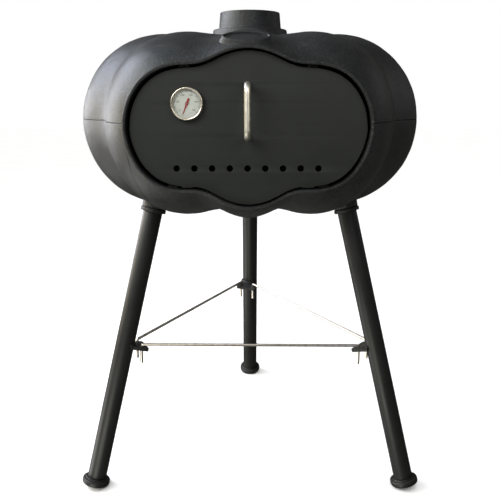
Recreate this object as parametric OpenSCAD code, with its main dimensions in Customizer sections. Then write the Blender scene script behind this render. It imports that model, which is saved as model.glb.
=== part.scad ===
// Pumpkin-shaped cast-iron garden smoker oven on a braced tripod.
// Millimetres, +Z up. The origin is on the floor, under the middle of the whole object's outline.
// Lengths in the comments are measured from the body's own vertical axis, which passes through the flue.

/* [Body] */
// Height of the joint between the two cast shells
seam_z = 802; // [787:1:817]
// Height of the centre of the body's cross-section
section_z = 797; // [787:1:807]
// Radius of the ring on which the body's rounded section is centred
ring_r = 188; // [180:1:196]
// Wall of the castings
wall = 6.5; // [5:0.5:8]
// Distance of the flat front opening from the body's axis
front_y = 309; // [300:1:316]
// How far the front of the casting is pulled to one side (minus is left)
front_shift = -2.7; // [-4:0.1:0]
// Half width of the front lobe in degrees
front_lobe = 15.5; // [14:0.5:18]
// Widest step between the columns that a shell is built from, in degrees
column_step = 4.5; // [4:0.1:6]
// Number of rows from the top of a lobe to its underside
rows = 20; // [16:2:24]
// How sharp the valleys beside the front lobe are: 0.5 is a crease, 1 is a smooth wave
crease = 0.5; // [0.45:0.05:1]
// How far each side of an angle the front of the casting is smoothed, in degrees
soften = 4; // [2:0.5:6]

/* [Lobes] */
// How far the front lobe stands out from the ring
front_out = 188; // [184:1:192]
// How far the lower half of the front lobe stands out
front_out_low = 201; // [194:1:206]
// How far the two shoulder lobes stand out from the ring
shoulder_out = 196; // [190:0.5:200]
// How far the side and rear lobes stand out from the ring
side_out = 181; // [176:1:186]
// How far the shallow valleys beside the front lobe stand out
front_valley_out = 175; // [170:0.5:180]
// How far the lower halves of those two valleys stand out
front_valley_out_low = 184; // [178:0.5:188]
// How far the other valleys stand out
valley_out = 151; // [146:1:160]
// Height of the front lobe above the section's centre
front_up = 179.5; // [174:0.5:182]
// Height of the shoulder lobes above the section's centre
shoulder_up = 178; // [175:1:182]
// Height of the side and rear lobes above the section's centre
side_up = 183; // [178:1:186]
// Height of the shallow valleys beside the front lobe
front_valley_up = 165.5; // [162:0.5:172]
// Height of the other valleys above the section's centre
valley_up = 172; // [168:1:178]
// Depth of the front lobe below the section's centre
front_down = 188; // [184:1:198]
// Depth of the shoulder lobes below the section's centre
shoulder_down = 188; // [184:1:191]
// Depth of the side and rear lobes below the section's centre
side_down = 186; // [182:1:190]
// Depth of the shallow valleys beside the front lobe
front_valley_down = 166.5; // [162:0.5:182]
// Depth of the other valleys
valley_down = 165; // [160:1:170]

/* [Squarer front] */
// How much fuller than an ellipse the shoulder lobes' section is
shoulder_square = 50; // [30:1:60]
// The same for the front lobe
front_square = 18; // [10:1:26]
// The same for the shallow valleys beside the front lobe
front_valley_square = 13; // [5:1:20]

/* [Flue collar] */
// Bore that a flue pipe drops into
flue_bore_d = 121; // [118:1:124]
// Outside of the collar at its rim
collar_d = 130; // [128:1:134]
// Top of the collar above the floor
collar_top_z = 1027; // [1020:1:1040]
// Flat seat on the upper shell that the collar stands on
seat_z = 973; // [969:1:977]
// Outside of the collar's foot
collar_foot_d = 164; // [158:1:168]
// Thickness of the collar's foot
collar_foot_t = 18; // [16:1:24]

/* [Door] */
// How far the door's face sits behind the front opening
door_recess = 12; // [8:1:14]
// Thickness of the door plate
door_t = 3; // [2.5:0.5:4]
// Depth of the frame round the opening
frame_depth = 22; // [20:1:26]
// Diameter of the air holes
vent_d = 12; // [10:1:13]
// Number of air holes
vent_count = 9; // [7:2:11]
// Spacing of the air holes
vent_pitch = 33; // [28:0.2:34]
// Height of the row of air holes
vent_z = 719; // [715:1:725]
// Width of the two feet that the door stands on
door_foot_w = 20; // [18:1:26]
// Distance of the door's feet from the middle between them
door_foot_x = 113; // [108:1:116]
// How far the door's feet, air holes and handle sit to one side (minus is left)
fittings_x = -4.5; // [-6:0.5:0]

/* [Door handle] */
// Diameter of the handle's bar
handle_d = 12; // [12:0.5:14]
// Height of the handle's middle
handle_z = 824; // [819:0.5:829]
// Distance between the centres of the handle's two ends
handle_span = 92; // [80:1:96]
// Distance of the bar's centre from the door's face
handle_reach = 54.5; // [46:0.5:58]

/* [Thermometer] */
// Outside of the bezel
bezel_d = 60; // [56:1:64]
// Distance of the thermometer to the left of the body's middle
gauge_x = 114.6; // [110:0.1:118]
// Height of the thermometer's centre
gauge_z = 837; // [831:1:843]
// Length of the probe behind the door
probe_len = 55; // [40:5:70]

/* [Tripod] */
// Angle of each leg from upright
leg_tilt = 14.95; // [14:0.05:16]
// Outside of the leg tube
leg_d = 41; // [38:0.5:43]
// Wall of the leg tube
leg_wall = 2.5; // [2:0.5:3]
// Distance of each front foot's centre from the axis
foot_r = 405; // [385:1:425]
// Distance of the rear foot's centre from the axis
rear_foot_r = 415; // [395:1:435]
// Angle between the two front legs, seen from above
front_legs_angle = 117.4; // [110:0.2:125]
// Length along the leg from the foot's base to the underside of the shell's boss
leg_len = 630; // [620:1:636]
// Outside of the round foot cap
foot_d = 60; // [56:1:64]
// Thickness of the foot cap's disc
foot_t = 12; // [10:1:14]
// Outside of the flange on top of each leg
socket_d = 54; // [50:1:58]
// Thickness of that flange
socket_t = 8; // [6:1:9]

/* [Braces] */
// Diameter of the brace rods
rod_d = 6; // [5:0.5:7]
// Length along the leg from the foot's base to the brace bracket
bracket_pos = 316; // [290:1:330]
// Thickness of the bracket plate
bracket_t = 8; // [6:0.5:9]
// How far the rod holes are from the leg's centre line
rod_hole_in = 33; // [31:0.5:36]
// Half the distance between a bracket's two rod holes
rod_hole_side = 18; // [14:0.5:20]
// Length of each rod's bent end
rod_drop = 37; // [34:1:46]

/* [Grates] */
// Width of the fire grate
fire_grate_w = 330; // [300:5:340]
// Depth of the fire grate, front to back
fire_grate_l = 250; // [220:5:260]
// Height of the fire grate's underside
fire_grate_z = 650; // [647:1:657]
// Width of the cooking grate
cook_grate_w = 380; // [340:5:390]
// Depth of the cooking grate, front to back
cook_grate_l = 290; // [260:5:300]
// Height of the cooking grate's wires
cook_grate_z = 759; // [750:1:767]

/* [Hidden] */
$fn = 64;

// Colours
IRON = [0.17, 0.18, 0.19];
DOOR_BLACK = [0.21, 0.22, 0.21];
LEG_BLACK = [0.13, 0.13, 0.13];
STEEL = [0.72, 0.71, 0.68];
ZINC = [0.55, 0.56, 0.57];
DIAL_WHITE = [0.88, 0.88, 0.82];
NEEDLE_RED = [0.72, 0.13, 0.16];
GLASS = [0.85, 0.9, 0.92, 0.35];

// The lobes, from the front (0 degrees) to the back (180), the same on both sides.
// Each lobe runs between two valleys; valley 0 mirrors valley 1 across the front.
valley_angles = [-front_lobe, front_lobe, 60, 100, 140, 180];
lobe_last = len(valley_angles) - 2;
square_crests = [front_square, shoulder_square, 0, 0, 0];
square_valleys = [front_valley_square, front_valley_square, 0, 0, 0, 0];
out_crests = [front_out, shoulder_out, side_out, side_out, side_out];
out_low_crests = [front_out_low, shoulder_out, side_out, side_out, side_out];
out_valleys = [front_valley_out, front_valley_out, valley_out, valley_out, valley_out, valley_out];
out_low_valleys = [front_valley_out_low, front_valley_out_low, valley_out, valley_out, valley_out,
                   valley_out];
up_crests = [front_up, shoulder_up, side_up, side_up, side_up];
up_valleys = [front_valley_up, front_valley_up, valley_up, valley_up, valley_up, valley_up];
down_crests = [front_down, shoulder_down, side_down, side_down, side_down];
down_valleys = [front_valley_down, front_valley_down, valley_down, valley_down, valley_down, valley_down];

// A lobed size at an angle from the front: a raised cosine between each pair of valleys,
// drawn up towards a crease at the two valleys beside the front lobe
creases = [crease, crease, 1, 1, 1, 1];
function sharp_lobed(angle, crests, valleys) =
    let (a = min(180, abs(angle)),
         k = [for (i = [0:lobe_last]) if (a <= valley_angles[i + 1]) i][0],
         x = (a - valley_angles[k]) / (valley_angles[k + 1] - valley_angles[k]),
         low = valleys[k] + (valleys[k + 1] - valleys[k]) * x,
         middle = (valleys[k] + valleys[k + 1]) / 2,
         wave = (1 - cos(360 * x)) / 2,
         power = creases[k] + (creases[k + 1] - creases[k]) * x)
    low + (crests[k] - middle) * pow(max(wave, 0), power);

// The same, smoothed over a few degrees near the front, where the creases are soft
function smooth(x) = let (c = min(1, max(0, x))) c * c * (3 - 2 * c);
function lobed(angle, crests, valleys) =
    let (w = soften * (1 - smooth((abs(angle) - 30) / 20)))
    w < 0.001 ? sharp_lobed(angle, crests, valleys)
    : (sharp_lobed(angle - w, crests, valleys) + 2 * sharp_lobed(angle - w / 2, crests, valleys)
       + 2 * sharp_lobed(angle, crests, valleys) + 2 * sharp_lobed(angle + w / 2, crests, valleys)
       + sharp_lobed(angle + w, crests, valleys)) / 8;

function square_at(angle) = lobed(angle, square_crests, square_valleys);
function out_at(angle) = lobed(angle, out_crests, out_valleys);
function out_low_at(angle) = lobed(angle, out_low_crests, out_low_valleys);
function up_at(angle) = lobed(angle, up_crests, up_valleys);
function down_at(angle) = lobed(angle, down_crests, down_valleys);

// The section inside the ring: a smooth step from the lobes to a flat middle
flat_r = 95;
floor_z = section_z - 186;
function inner_z(r, edge_z, middle_z) =
    middle_z + (edge_z - middle_z) * smooth((r - flat_r) / (ring_r - flat_r));

square_from = 170;
square_over = 120;
// Distance from the axis to the section's curve, from its height above the middle as a sine.
// out is how far it stands out from the ring, and square how much fuller it is near the front than an ellipse.
function section_r(sine, out, square, angle) =
    let (cosine = sqrt(max(0, 1 - sine * sine)), r = ring_r + out * cosine)
    r + square * pow(abs(sine), 3) * cosine * smooth((r * cos(angle) - square_from) / square_over);

// The front of the casting stands a little to one side: how far, at a distance in front of the axis
shift_from = 120;
shift_full = 280;
function shift_at(front) = front_shift * smooth((front - shift_from) / (shift_full - shift_from));

// One column of the body's skin at an angle from the front, as [radius, height] from top to bottom.
// grow is how far the skin is moved outwards.
inner_radii = [60, flat_r, 125, 155];
function skin_column(angle, grow) =
    let (a = out_at(angle) + grow, a_low = out_low_at(angle) + grow,
         u = up_at(angle) + grow, d = down_at(angle) + grow, square = square_at(angle))
    concat(
        [for (r = inner_radii) [r, inner_z(r, section_z + u, seat_z + grow)]],
        [for (i = [0:rows]) let (t = 90 - 180 * i / rows)
            [section_r(sin(t), t > 0 ? a : a_low, square, angle), section_z + (t > 0 ? u : d) * sin(t)]],
        [for (i = [len(inner_radii) - 1:-1:0])
            [inner_radii[i], inner_z(inner_radii[i], section_z - d, floor_z - grow)]]);

// Angles of the columns, in order right round, with one in each valley
half_angles = [for (k = [1:lobe_last])
    let (n = ceil((valley_angles[k + 1] - valley_angles[k]) / column_step))
    for (i = [0:n - 1]) valley_angles[k] + (valley_angles[k + 1] - valley_angles[k]) * i / n];
front_columns = ceil(2 * front_lobe / column_step);
column_angles = concat(
    [for (i = [0:front_columns - 1]) front_lobe * (2 * i / front_columns - 1)],
    half_angles, [180], [for (i = [len(half_angles) - 1:-1:1]) -half_angles[i]]);

// The whole body as one closed solid, with poles at its top and bottom
module body_solid(grow) {
    columns = len(column_angles);
    ring_n = len(skin_column(0, grow));
    top = columns * ring_n;
    bottom = top + 1;
    points = concat(
        [for (angle = column_angles, p = skin_column(angle, grow))
            [p[0] * sin(angle) + shift_at(p[0] * cos(angle)), -p[0] * cos(angle), p[1]]],
        [[0, 0, seat_z + grow], [0, 0, floor_z - grow]]);
    faces = concat(
        [for (c = [0:columns - 1], i = [0:ring_n - 2])
            let (a = c * ring_n + i, b = ((c + 1) % columns) * ring_n + i)
            each [[a, b + 1, a + 1], [a, b, b + 1]]],
        [for (c = [0:columns - 1]) [top, ((c + 1) % columns) * ring_n, c * ring_n]],
        [for (c = [0:columns - 1])
            [bottom, c * ring_n + ring_n - 1, ((c + 1) % columns) * ring_n + ring_n - 1]]);
    polyhedron(points, faces, convexity = 6);
}

// Is a point of the front plane inside the skin? Negative inside, positive outside.
// Points of the front plane are measured from the middle of the opening, front_shift from the axis.
function skin_test(x, z, grow) =
    let (angle = atan2(abs(x), front_y), r = norm([x, front_y]),
         a = (z > section_z ? out_at(angle) : out_low_at(angle)) + grow,
         b = (z > section_z ? up_at(angle) : down_at(angle)) + grow)
    let (sine = (z - section_z) / b)
    abs(sine) < 1 ? r - section_r(sine, a, square_at(angle), angle) : big;

// Distance from the opening's middle to the skin, in a direction measured from upright
search_steps = 18;
function front_reach(th, grow, low = 60, high = 300, n = search_steps) =
    let (mid = (low + high) / 2)
    n == 0 ? mid
    : skin_test(mid * sin(th), section_z + mid * cos(th), grow) < 0
        ? front_reach(th, grow, mid, high, n - 1)
        : front_reach(th, grow, low, mid, n - 1);

// The lobed outline of the front opening in the X-Z plane
outline_points = 96;
function front_outline(grow) =
    [for (i = [0:outline_points - 1]) let (th = 360 * i / outline_points, d = front_reach(th, grow))
        [front_shift + d * sin(th), section_z + d * cos(th)]];

bead_grow = 1;
opening_grow = -4;
door_grow = -6;

// Stands a flat outline up in the X-Z plane, from the given distance in front of the axis, towards the back
module upright(front, depth) {
    translate([0, depth - front, 0]) rotate([90, 0, 0]) linear_extrude(depth) children();
}

// The frame round the opening, which the door's feet stand on
module opening_frame() {
    upright(front_y + 1, frame_depth + 1) difference() {
        polygon(front_outline(bead_grow));
        polygon(front_outline(opening_grow));
    }
}

// Stops behind the door, two in each shell, where the opening is widest
stop_angles = [48, 128];
stop_size = 16;
stop_gap = 0.5;
door_back = front_y - door_recess - door_t;
module door_stops() {
    for (th = stop_angles, side = [-1, 1])
        translate([front_shift + side * front_reach(th, opening_grow) * sin(th), 0,
                   section_z + front_reach(th, opening_grow) * cos(th)])
            rotate([0, side * th, 0])
                translate([-stop_size / 2, stop_gap - door_back, -stop_size / 2 - 2])
                    cube([stop_size, 6, stop_size]);
}

// Lugs inside the seam, in the valleys, where bolts join the two shells
lug_angles = [60, 100, 140, 180, -140, -100, -60];
lug_w = 34;
lug_t = 12;
lug_in = 300;
lug_bolt_r = 314;
lug_hole_d = 9;
module at_lug(angle) {
    rotate([0, 0, angle]) translate([0, -lug_bolt_r, seam_z]) children();
}
module seam_lugs(side) {
    outer = ring_r + valley_out - 2;
    for (angle = lug_angles)
        rotate([0, 0, angle]) translate([-lug_w / 2, -outer, seam_z + (side > 0 ? 0 : -lug_t)])
            cube([lug_w, outer - lug_in, lug_t]);
}
module seam_holes() {
    for (angle = lug_angles)
        at_lug(angle) cylinder(d = lug_hole_d, h = 3 * lug_t, center = true, $fn = 24);
}

// Blank oval badge boss on the front of the upper shell: a low pad with a shallow oval recess
badge_t = 60.6;
badge_x = -6.2;
badge_w = 80.5;
badge_h = 30;
badge_proud = 3.5;
badge_depth = 3;
module at_badge() {
    translate([badge_x, -section_r(sin(badge_t), front_out, front_square, 0),
               section_z + front_up * sin(badge_t)])
        rotate([90 - badge_t, 0, 0]) children();
}
module oval(w, h, t) {
    resize([w, h, t]) cylinder(d = 1, h = 1, $fn = 48);
}
module badge_pad() {
    at_badge() translate([0, 0, -8]) hull() {
        oval(badge_w + 16, badge_h + 18, 2);
        oval(badge_w + 6, badge_h + 6, 8 + badge_proud);
    }
}

// Legs: a leg's own frame has its origin at the middle of the foot's base and +Z up along the tube.
// The foot is square to the leg, so it stands on its inner edge.
LEG_LEFT = 0;
LEG_RIGHT = 1;
LEG_REAR = 2;
legs = [LEG_LEFT, LEG_RIGHT, LEG_REAR];
leg_angles = [270 - front_legs_angle / 2, 270 + front_legs_angle / 2, 90];
foot_rs = [foot_r, foot_r, rear_foot_r];
foot_edge = foot_t / 3;
foot_base_z = (foot_d / 2 - foot_edge) * sin(leg_tilt) + foot_edge * (1 - cos(leg_tilt));
module at_leg(leg) {
    rotate([0, 0, leg_angles[leg]]) translate([foot_rs[leg], 0, foot_base_z]) rotate([0, -leg_tilt, 0])
        children();
}
boss_d = 49;
boss_top = 706;
stud_d = 12;
stud_hole_d = 12.8;
stud_up = 26;
module leg_bosses() {
    for (leg = legs) at_leg(leg) translate([0, 0, leg_len])
        cylinder(d1 = boss_d, d2 = boss_d + 16, h = boss_top - leg_len, $fn = 40);
}
module leg_boss_holes() {
    for (leg = legs) at_leg(leg) translate([0, 0, leg_len - 1])
        cylinder(d = stud_hole_d, h = stud_up + 2, $fn = 32);
}

// Posts in the bottom of the lower shell that hold the fire grate
post_d = 22;
post_x = 148;
post_y = 108;
module grate_posts() {
    for (x = [-post_x, post_x], y = [-post_y, post_y]) translate([x, y, floor_z - 20])
        cylinder(d = post_d, h = fire_grate_z - floor_z + 20, $fn = 32);
}

big = 1200;
module front_cut() {
    translate([-big / 2, -front_y - big, 0]) cube([big, big, big]);
}
// Half space above the seam (side 1) or below it (side -1)
module half_space(side) {
    translate([-big / 2, -big / 2, side > 0 ? seam_z : seam_z - big]) cube([big, big, big]);
}

flue_hole_d = 124;
screw_d = 6;
screw_pcd = 148;
screw_angles = [90, 210, 330];

// Object's outline, front to back, sets where the origin lies along Y
handle_front = front_y - door_recess + handle_reach + handle_d / 2;
foot_back = rear_foot_r + foot_d / 2 * cos(leg_tilt);
axis_y = (handle_front - foot_back) / 2;
module placed() {
    translate([0, axis_y, 0]) children();
}

module upper_shell() {
    color(IRON) placed() resize([0, 0, 0]) {
        difference() {
            intersection() {
                union() {
                    difference() {
                        union() { body_solid(0); badge_pad(); }
                        body_solid(-wall);
                        front_cut();
                    }
                    opening_frame();
                    seam_lugs(1);
                    door_stops();
                }
                half_space(1);
            }
            translate([0, 0, seat_z - 40]) cylinder(d = flue_hole_d, h = 80, $fn = 64);
            at_badge() translate([0, 0, badge_proud - badge_depth]) oval(badge_w, badge_h, 10);
            seam_holes();
            for (a = screw_angles) rotate([0, 0, a]) translate([screw_pcd / 2, 0, seat_z - 20])
                cylinder(d = screw_d + 1, h = 40, $fn = 24);
        }
    }
}

module lower_shell() {
    color(IRON) placed() resize([0, 0, 0]) {
        difference() {
            intersection() {
                union() {
                    difference() {
                        union() { body_solid(0); intersection() { leg_bosses(); half_space(-1); } }
                        body_solid(-wall);
                        front_cut();
                    }
                    opening_frame();
                    seam_lugs(-1);
                    door_stops();
                    intersection() { grate_posts(); body_solid(-1); }
                }
                half_space(-1);
            }
            leg_boss_holes();
            seam_holes();
        }
    }
}

// Bolts through the seam lugs, heads up
bolt_d = 8;
bolt_head_d = 14.8;
bolt_head_h = 5.3;
nut_h = 6.5;
module seam_bolts() {
    color(ZINC) placed() for (angle = lug_angles) at_lug(angle) {
        translate([0, 0, -lug_t - nut_h - 4]) cylinder(d = bolt_d, h = 2 * lug_t + nut_h + 4.5);
        translate([0, 0, lug_t]) cylinder(d = bolt_head_d, h = bolt_head_h, $fn = 6);
    }
}
module seam_nuts() {
    color(ZINC) placed() for (angle = lug_angles) at_lug(angle) translate([0, 0, -lug_t - nut_h])
        difference() {
            cylinder(d = bolt_head_d, h = nut_h, $fn = 6);
            translate([0, 0, -1]) cylinder(d = bolt_d + 0.1, h = nut_h + 2);
        }
}

// Spigot on top of the upper shell that a flue pipe or a lid drops into
collar_edge = 4;
collar_taper = 3;
module flue_collar() {
    base_r = collar_foot_d / 2;
    rim_r = collar_d / 2;
    top = collar_top_z - seat_z;
    color(IRON) placed() translate([0, 0, seat_z]) difference() {
        rotate_extrude($fn = 96) difference() {
            union() {
                polygon([[0, 0], [base_r + 1.5, 0], [base_r - 1.5, collar_foot_t],
                         [rim_r + collar_taper, collar_foot_t], [rim_r, top - collar_edge],
                         [rim_r - collar_edge, top], [0, top]]);
                translate([rim_r - collar_edge, top - collar_edge]) circle(r = collar_edge, $fn = 32);
            }
            translate([-big, -1]) square([big + flue_bore_d / 2, big]);
        }
        for (a = screw_angles) rotate([0, 0, a]) translate([screw_pcd / 2, 0, -1])
            cylinder(d = screw_d + 0.1, h = screw_len - wall + 1.5, $fn = 32);
    }
}

// Screws that hold the collar from inside the shell
screw_len = 22;
screw_head_d = 11;
screw_head_h = 4;
module collar_screws() {
    color(ZINC) placed() for (a = screw_angles) rotate([0, 0, a])
        translate([screw_pcd / 2, 0, seat_z - wall - screw_head_h]) {
            cylinder(d = screw_head_d, h = screw_head_h, $fn = 6);
            translate([0, 0, screw_head_h - 0.5]) cylinder(d = screw_d, h = screw_len + 0.5, $fn = 32);
        }
}

// Frame of a fitting on the door: +Z points out of the door's face, towards the user
door_face = front_y - door_recess;
module on_door(x, z) {
    translate([x, -door_face, z]) rotate([90, 0, 0]) children();
}

// Height of the opening's sill under the door's feet, at a distance from the middle of the opening
sill_gap = 0.4;
function sill_z(x) =
    [for (th = [110:0.5:170]) let (d = front_reach(th, opening_grow))
        if (d * sin(th) <= x) section_z + d * cos(th)][0];

handle_hole_d = 8.6;
probe_hole_d = 9;
door_foot_h = 20;
module door_plate() {
    aside = fittings_x - front_shift;
    color(DOOR_BLACK) placed() difference() {
        union() {
            upright(door_face, door_t) polygon(front_outline(door_grow));
            for (side = [-1, 1]) let (x = door_foot_x + side * aside)
                translate([front_shift + side * x - door_foot_w / 2, -door_face,
                           sill_gap + max(sill_z(x - door_foot_w / 2), sill_z(x + door_foot_w / 2))])
                    cube([door_foot_w, door_t, door_foot_h]);
        }
        for (i = [0:vent_count - 1]) on_door(fittings_x + (i - (vent_count - 1) / 2) * vent_pitch, vent_z)
            translate([0, 0, -door_t - 1]) cylinder(d = vent_d, h = door_t + 2);
        for (side = [-1, 1]) on_door(fittings_x, handle_z + side * handle_span / 2)
            translate([0, 0, -door_t - 1]) cylinder(d = handle_hole_d, h = door_t + 2);
        on_door(-gauge_x, gauge_z) translate([0, 0, -door_t - 1]) cylinder(d = probe_hole_d, h = door_t + 2);
    }
}

// Round bar with both ends bent back to the door and threaded through it
handle_bend = 14;
handle_thread_d = 8;
handle_thread_len = 14;
module door_handle() {
    bar = handle_span - 2 * handle_bend;
    color(STEEL) placed() on_door(fittings_x, handle_z) {
        translate([0, -bar / 2 - 0.01, handle_reach]) rotate([-90, 0, 0])
            cylinder(d = handle_d, h = bar + 0.02);
        for (side = [-1, 1]) {
            translate([0, side * bar / 2, handle_reach - handle_bend]) rotate([0, -90, side > 0 ? 0 : 180])
                rotate_extrude(angle = 90) translate([handle_bend, 0]) circle(d = handle_d);
            translate([0, side * handle_span / 2, 0.2])
                cylinder(d = handle_d, h = handle_reach - handle_bend - 0.19);
            translate([0, side * handle_span / 2, 0.5 - handle_thread_len])
                cylinder(d = handle_thread_d, h = handle_thread_len);
        }
    }
}
washer_t = 1.6;
module handle_washers() {
    color(ZINC) placed() for (side = [-1, 1]) on_door(fittings_x, handle_z + side * handle_span / 2)
        translate([0, 0, -door_t - washer_t]) difference() {
            cylinder(d = 18, h = washer_t);
            translate([0, 0, -1]) cylinder(d = handle_thread_d + 0.4, h = washer_t + 2);
        }
}
module handle_nuts() {
    color(ZINC) placed() for (side = [-1, 1]) on_door(fittings_x, handle_z + side * handle_span / 2)
        translate([0, 0, -door_t - washer_t - nut_h]) difference() {
            cylinder(d = bolt_head_d, h = nut_h, $fn = 6);
            translate([0, 0, -1]) cylinder(d = handle_thread_d + 0.1, h = nut_h + 2);
        }
}

// Dial thermometer, drawn in the door's frame with its back on the door's face
case_d = 55;
case_depth = 9;
case_wall = 1.2;
dial_z = 4;
dial_t = 0.8;
needle_z = 5.6;
needle_t = 0.6;
glass_gap = 0.05;
glass_z = case_depth + glass_gap;
glass_t = 1.5;
bezel_z = 7;
bezel_top = 12.5;
bezel_lip_d = 51;
spindle_d = 2;
module on_gauge() {
    placed() on_door(-gauge_x, gauge_z) children();
}
module thermometer_case() {
    color(STEEL) on_gauge() rotate_extrude() difference() {
        square([case_d / 2, case_depth]);
        translate([-1, case_wall]) square([case_d / 2 - case_wall + 1, case_depth]);
        translate([-1, -1]) square([1 + probe_d / 2 + 0.05, case_depth]);
    }
}
module thermometer_bezel() {
    color(STEEL) on_gauge() rotate_extrude($fn = 96) difference() {
        union() {
            translate([0, bezel_z]) square([bezel_d / 2, bezel_top - bezel_z - 2]);
            translate([0, bezel_z]) square([bezel_d / 2 - 2, bezel_top - bezel_z]);
            translate([bezel_d / 2 - 2, bezel_top - 2]) circle(r = 2, $fn = 32);
            translate([0, bezel_z - 3]) square([bezel_d / 2 - 0.5, 4]);
        }
        translate([-1, 0]) square([1 + bezel_lip_d / 2, bezel_top + 1]);
        translate([-1, 0]) square([1 + case_d / 2 + glass_gap, glass_z + glass_t + glass_gap]);
    }
}
module thermometer_glass() {
    color(GLASS) on_gauge() translate([0, 0, glass_z]) cylinder(d = case_d - 0.2, h = glass_t);
}
module thermometer_dial() {
    color(DIAL_WHITE) on_gauge() translate([0, 0, dial_z]) difference() {
        cylinder(d = case_d - 2 * case_wall - 0.2, h = dial_t);
        translate([0, 0, -1]) cylinder(d = spindle_d + 1, h = dial_t + 2);
    }
}
// The needle rests at the low end of the dial, at seven o'clock
needle_rest = 202;
needle_tip = 20;
needle_tail = 10;
module thermometer_needle() {
    color(NEEDLE_RED) on_gauge() rotate([0, 0, -needle_rest]) translate([0, 0, needle_z]) difference() {
        union() {
            linear_extrude(needle_t) polygon([
                [-1.6, 0], [-0.5, needle_tip], [0.5, needle_tip],
                [1.6, 0], [1.9, -needle_tail], [-1.9, -needle_tail]]);
            cylinder(d = 6, h = needle_t);
        }
        translate([0, 0, -1]) cylinder(d = spindle_d + 0.1, h = needle_t + 2);
    }
}
module thermometer_spindle() {
    color(STEEL) on_gauge() translate([0, 0, 1]) cylinder(d = spindle_d, h = needle_z + needle_t);
}
probe_d = 6;
thread_d = 8.6;
module thermometer_probe() {
    color(STEEL) on_gauge() {
        translate([0, 0, -probe_len - door_t]) cylinder(d = probe_d, h = probe_len + door_t + 0.6);
        translate([0, 0, -door_t - 9]) cylinder(d = thread_d, h = door_t + 8.9);
    }
}
module thermometer_nut() {
    color(ZINC) on_gauge() translate([0, 0, -door_t - 5]) difference() {
        cylinder(d = 18, h = 4.9, $fn = 6);
        translate([0, 0, -1]) cylinder(d = thread_d + 0.1, h = 7);
    }
}

// Leg tube, from the foot cap's disc up to the flange under the shell
module leg_tube(leg) {
    color(LEG_BLACK) placed() at_leg(leg) translate([0, 0, foot_t]) difference() {
        cylinder(d = leg_d, h = leg_len - socket_t - foot_t);
        translate([0, 0, -1]) cylinder(d = leg_d - 2 * leg_wall, h = leg_len);
    }
}
module leg_tube_left() { leg_tube(LEG_LEFT); }
module leg_tube_right() { leg_tube(LEG_RIGHT); }
module leg_tube_rear() { leg_tube(LEG_REAR); }

// Flange with a hollow spigot that the tube slides over
spigot_len = 45;
spigot_wall = 4;
tube_gap = 0.15;
module leg_socket(leg) {
    spigot_d = leg_d - 2 * leg_wall - 2 * tube_gap;
    color(IRON) placed() at_leg(leg) translate([0, 0, leg_len - socket_t]) difference() {
        union() {
            cylinder(d = socket_d, h = socket_t);
            translate([0, 0, -spigot_len]) cylinder(d = spigot_d, h = spigot_len + 1);
        }
        translate([0, 0, -spigot_len - 1]) cylinder(d = spigot_d - 2 * spigot_wall, h = spigot_len + 1);
        translate([0, 0, -5]) cylinder(d = stud_d + 0.1, h = socket_t + 6);
    }
}
module leg_socket_left() { leg_socket(LEG_LEFT); }
module leg_socket_right() { leg_socket(LEG_RIGHT); }
module leg_socket_rear() { leg_socket(LEG_REAR); }

stud_down = 22;
leg_nut_h = 10;
leg_nut_d = 21.5;
module leg_studs() {
    color(ZINC) placed() for (leg = legs) at_leg(leg)
        translate([0, 0, leg_len - stud_down]) cylinder(d = stud_d, h = stud_down + stud_up);
}
module leg_nuts() {
    color(ZINC) placed() for (leg = legs) at_leg(leg)
        translate([0, 0, leg_len - socket_t - leg_nut_h]) difference() {
            cylinder(d = leg_nut_d, h = leg_nut_h, $fn = 6);
            translate([0, 0, -1]) cylinder(d = stud_d + 0.1, h = leg_nut_h + 2);
        }
}

// Foot: a rounded disc with a step round the tube and a plug inside it
module foot_cap(leg) {
    plug_d = leg_d - 2 * leg_wall - 2 * tube_gap;
    r = foot_edge;
    color(LEG_BLACK) placed() at_leg(leg) {
        rotate_extrude() {
            square([foot_d / 2 - r, foot_t]);
            translate([0, r]) square([foot_d / 2, foot_t - 2 * r]);
            translate([foot_d / 2 - r, r]) circle(r = r, $fn = 24);
            translate([foot_d / 2 - r, foot_t - r]) circle(r = r, $fn = 24);
        }
        translate([0, 0, foot_t - 0.5]) cylinder(d = plug_d, h = 25);
        translate([0, 0, foot_t - 0.5]) difference() {
            cylinder(d = leg_d + 7, h = 4);
            translate([0, 0, -1]) cylinder(d = leg_d + 0.2, h = 6);
        }
    }
}
module foot_cap_left() { foot_cap(LEG_LEFT); }
module foot_cap_right() { foot_cap(LEG_RIGHT); }
module foot_cap_rear() { foot_cap(LEG_REAR); }

// Bracket: a plate square to the leg, welded to the tube's inner side, that takes two rod ends.
// In a leg's frame, -X points to the middle of the tripod. Each tube stands turned a little in its socket,
// and the brackets are not all welded on at quite the same height.
bracket_turns = [-6, -9, -16];
bracket_rises = [3, -2, 6];
bracket_end_r = 9;
bracket_end_in = 39;
bracket_root = 23;
module at_bracket(leg) {
    at_leg(leg) rotate([0, 0, bracket_turns[leg]]) translate([0, 0, bracket_pos + bracket_rises[leg]])
        children();
}
module brace_bracket(leg) {
    color(IRON) placed() difference() {
        at_bracket(leg) difference() {
            union() {
                linear_extrude(bracket_t) polygon([
                    [-8, -bracket_root], [-bracket_end_in, -rod_hole_side - bracket_end_r],
                    [-bracket_end_in, rod_hole_side + bracket_end_r], [-8, bracket_root]]);
                for (side = [-1, 1]) translate([-bracket_end_in, side * rod_hole_side, 0])
                    cylinder(r = bracket_end_r, h = bracket_t);
                translate([-bracket_end_in - bracket_end_r, -rod_hole_side, 0])
                    cube([bracket_end_r, 2 * rod_hole_side, bracket_t]);
            }
            translate([0, 0, -1]) cylinder(d = leg_d + 0.2, h = bracket_t + 2);
        }
        for (side = [-1, 1]) at_rod_hole(leg, side) cylinder(d = rod_d + 1, h = 80, center = true, $fn = 32);
    }
}
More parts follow.
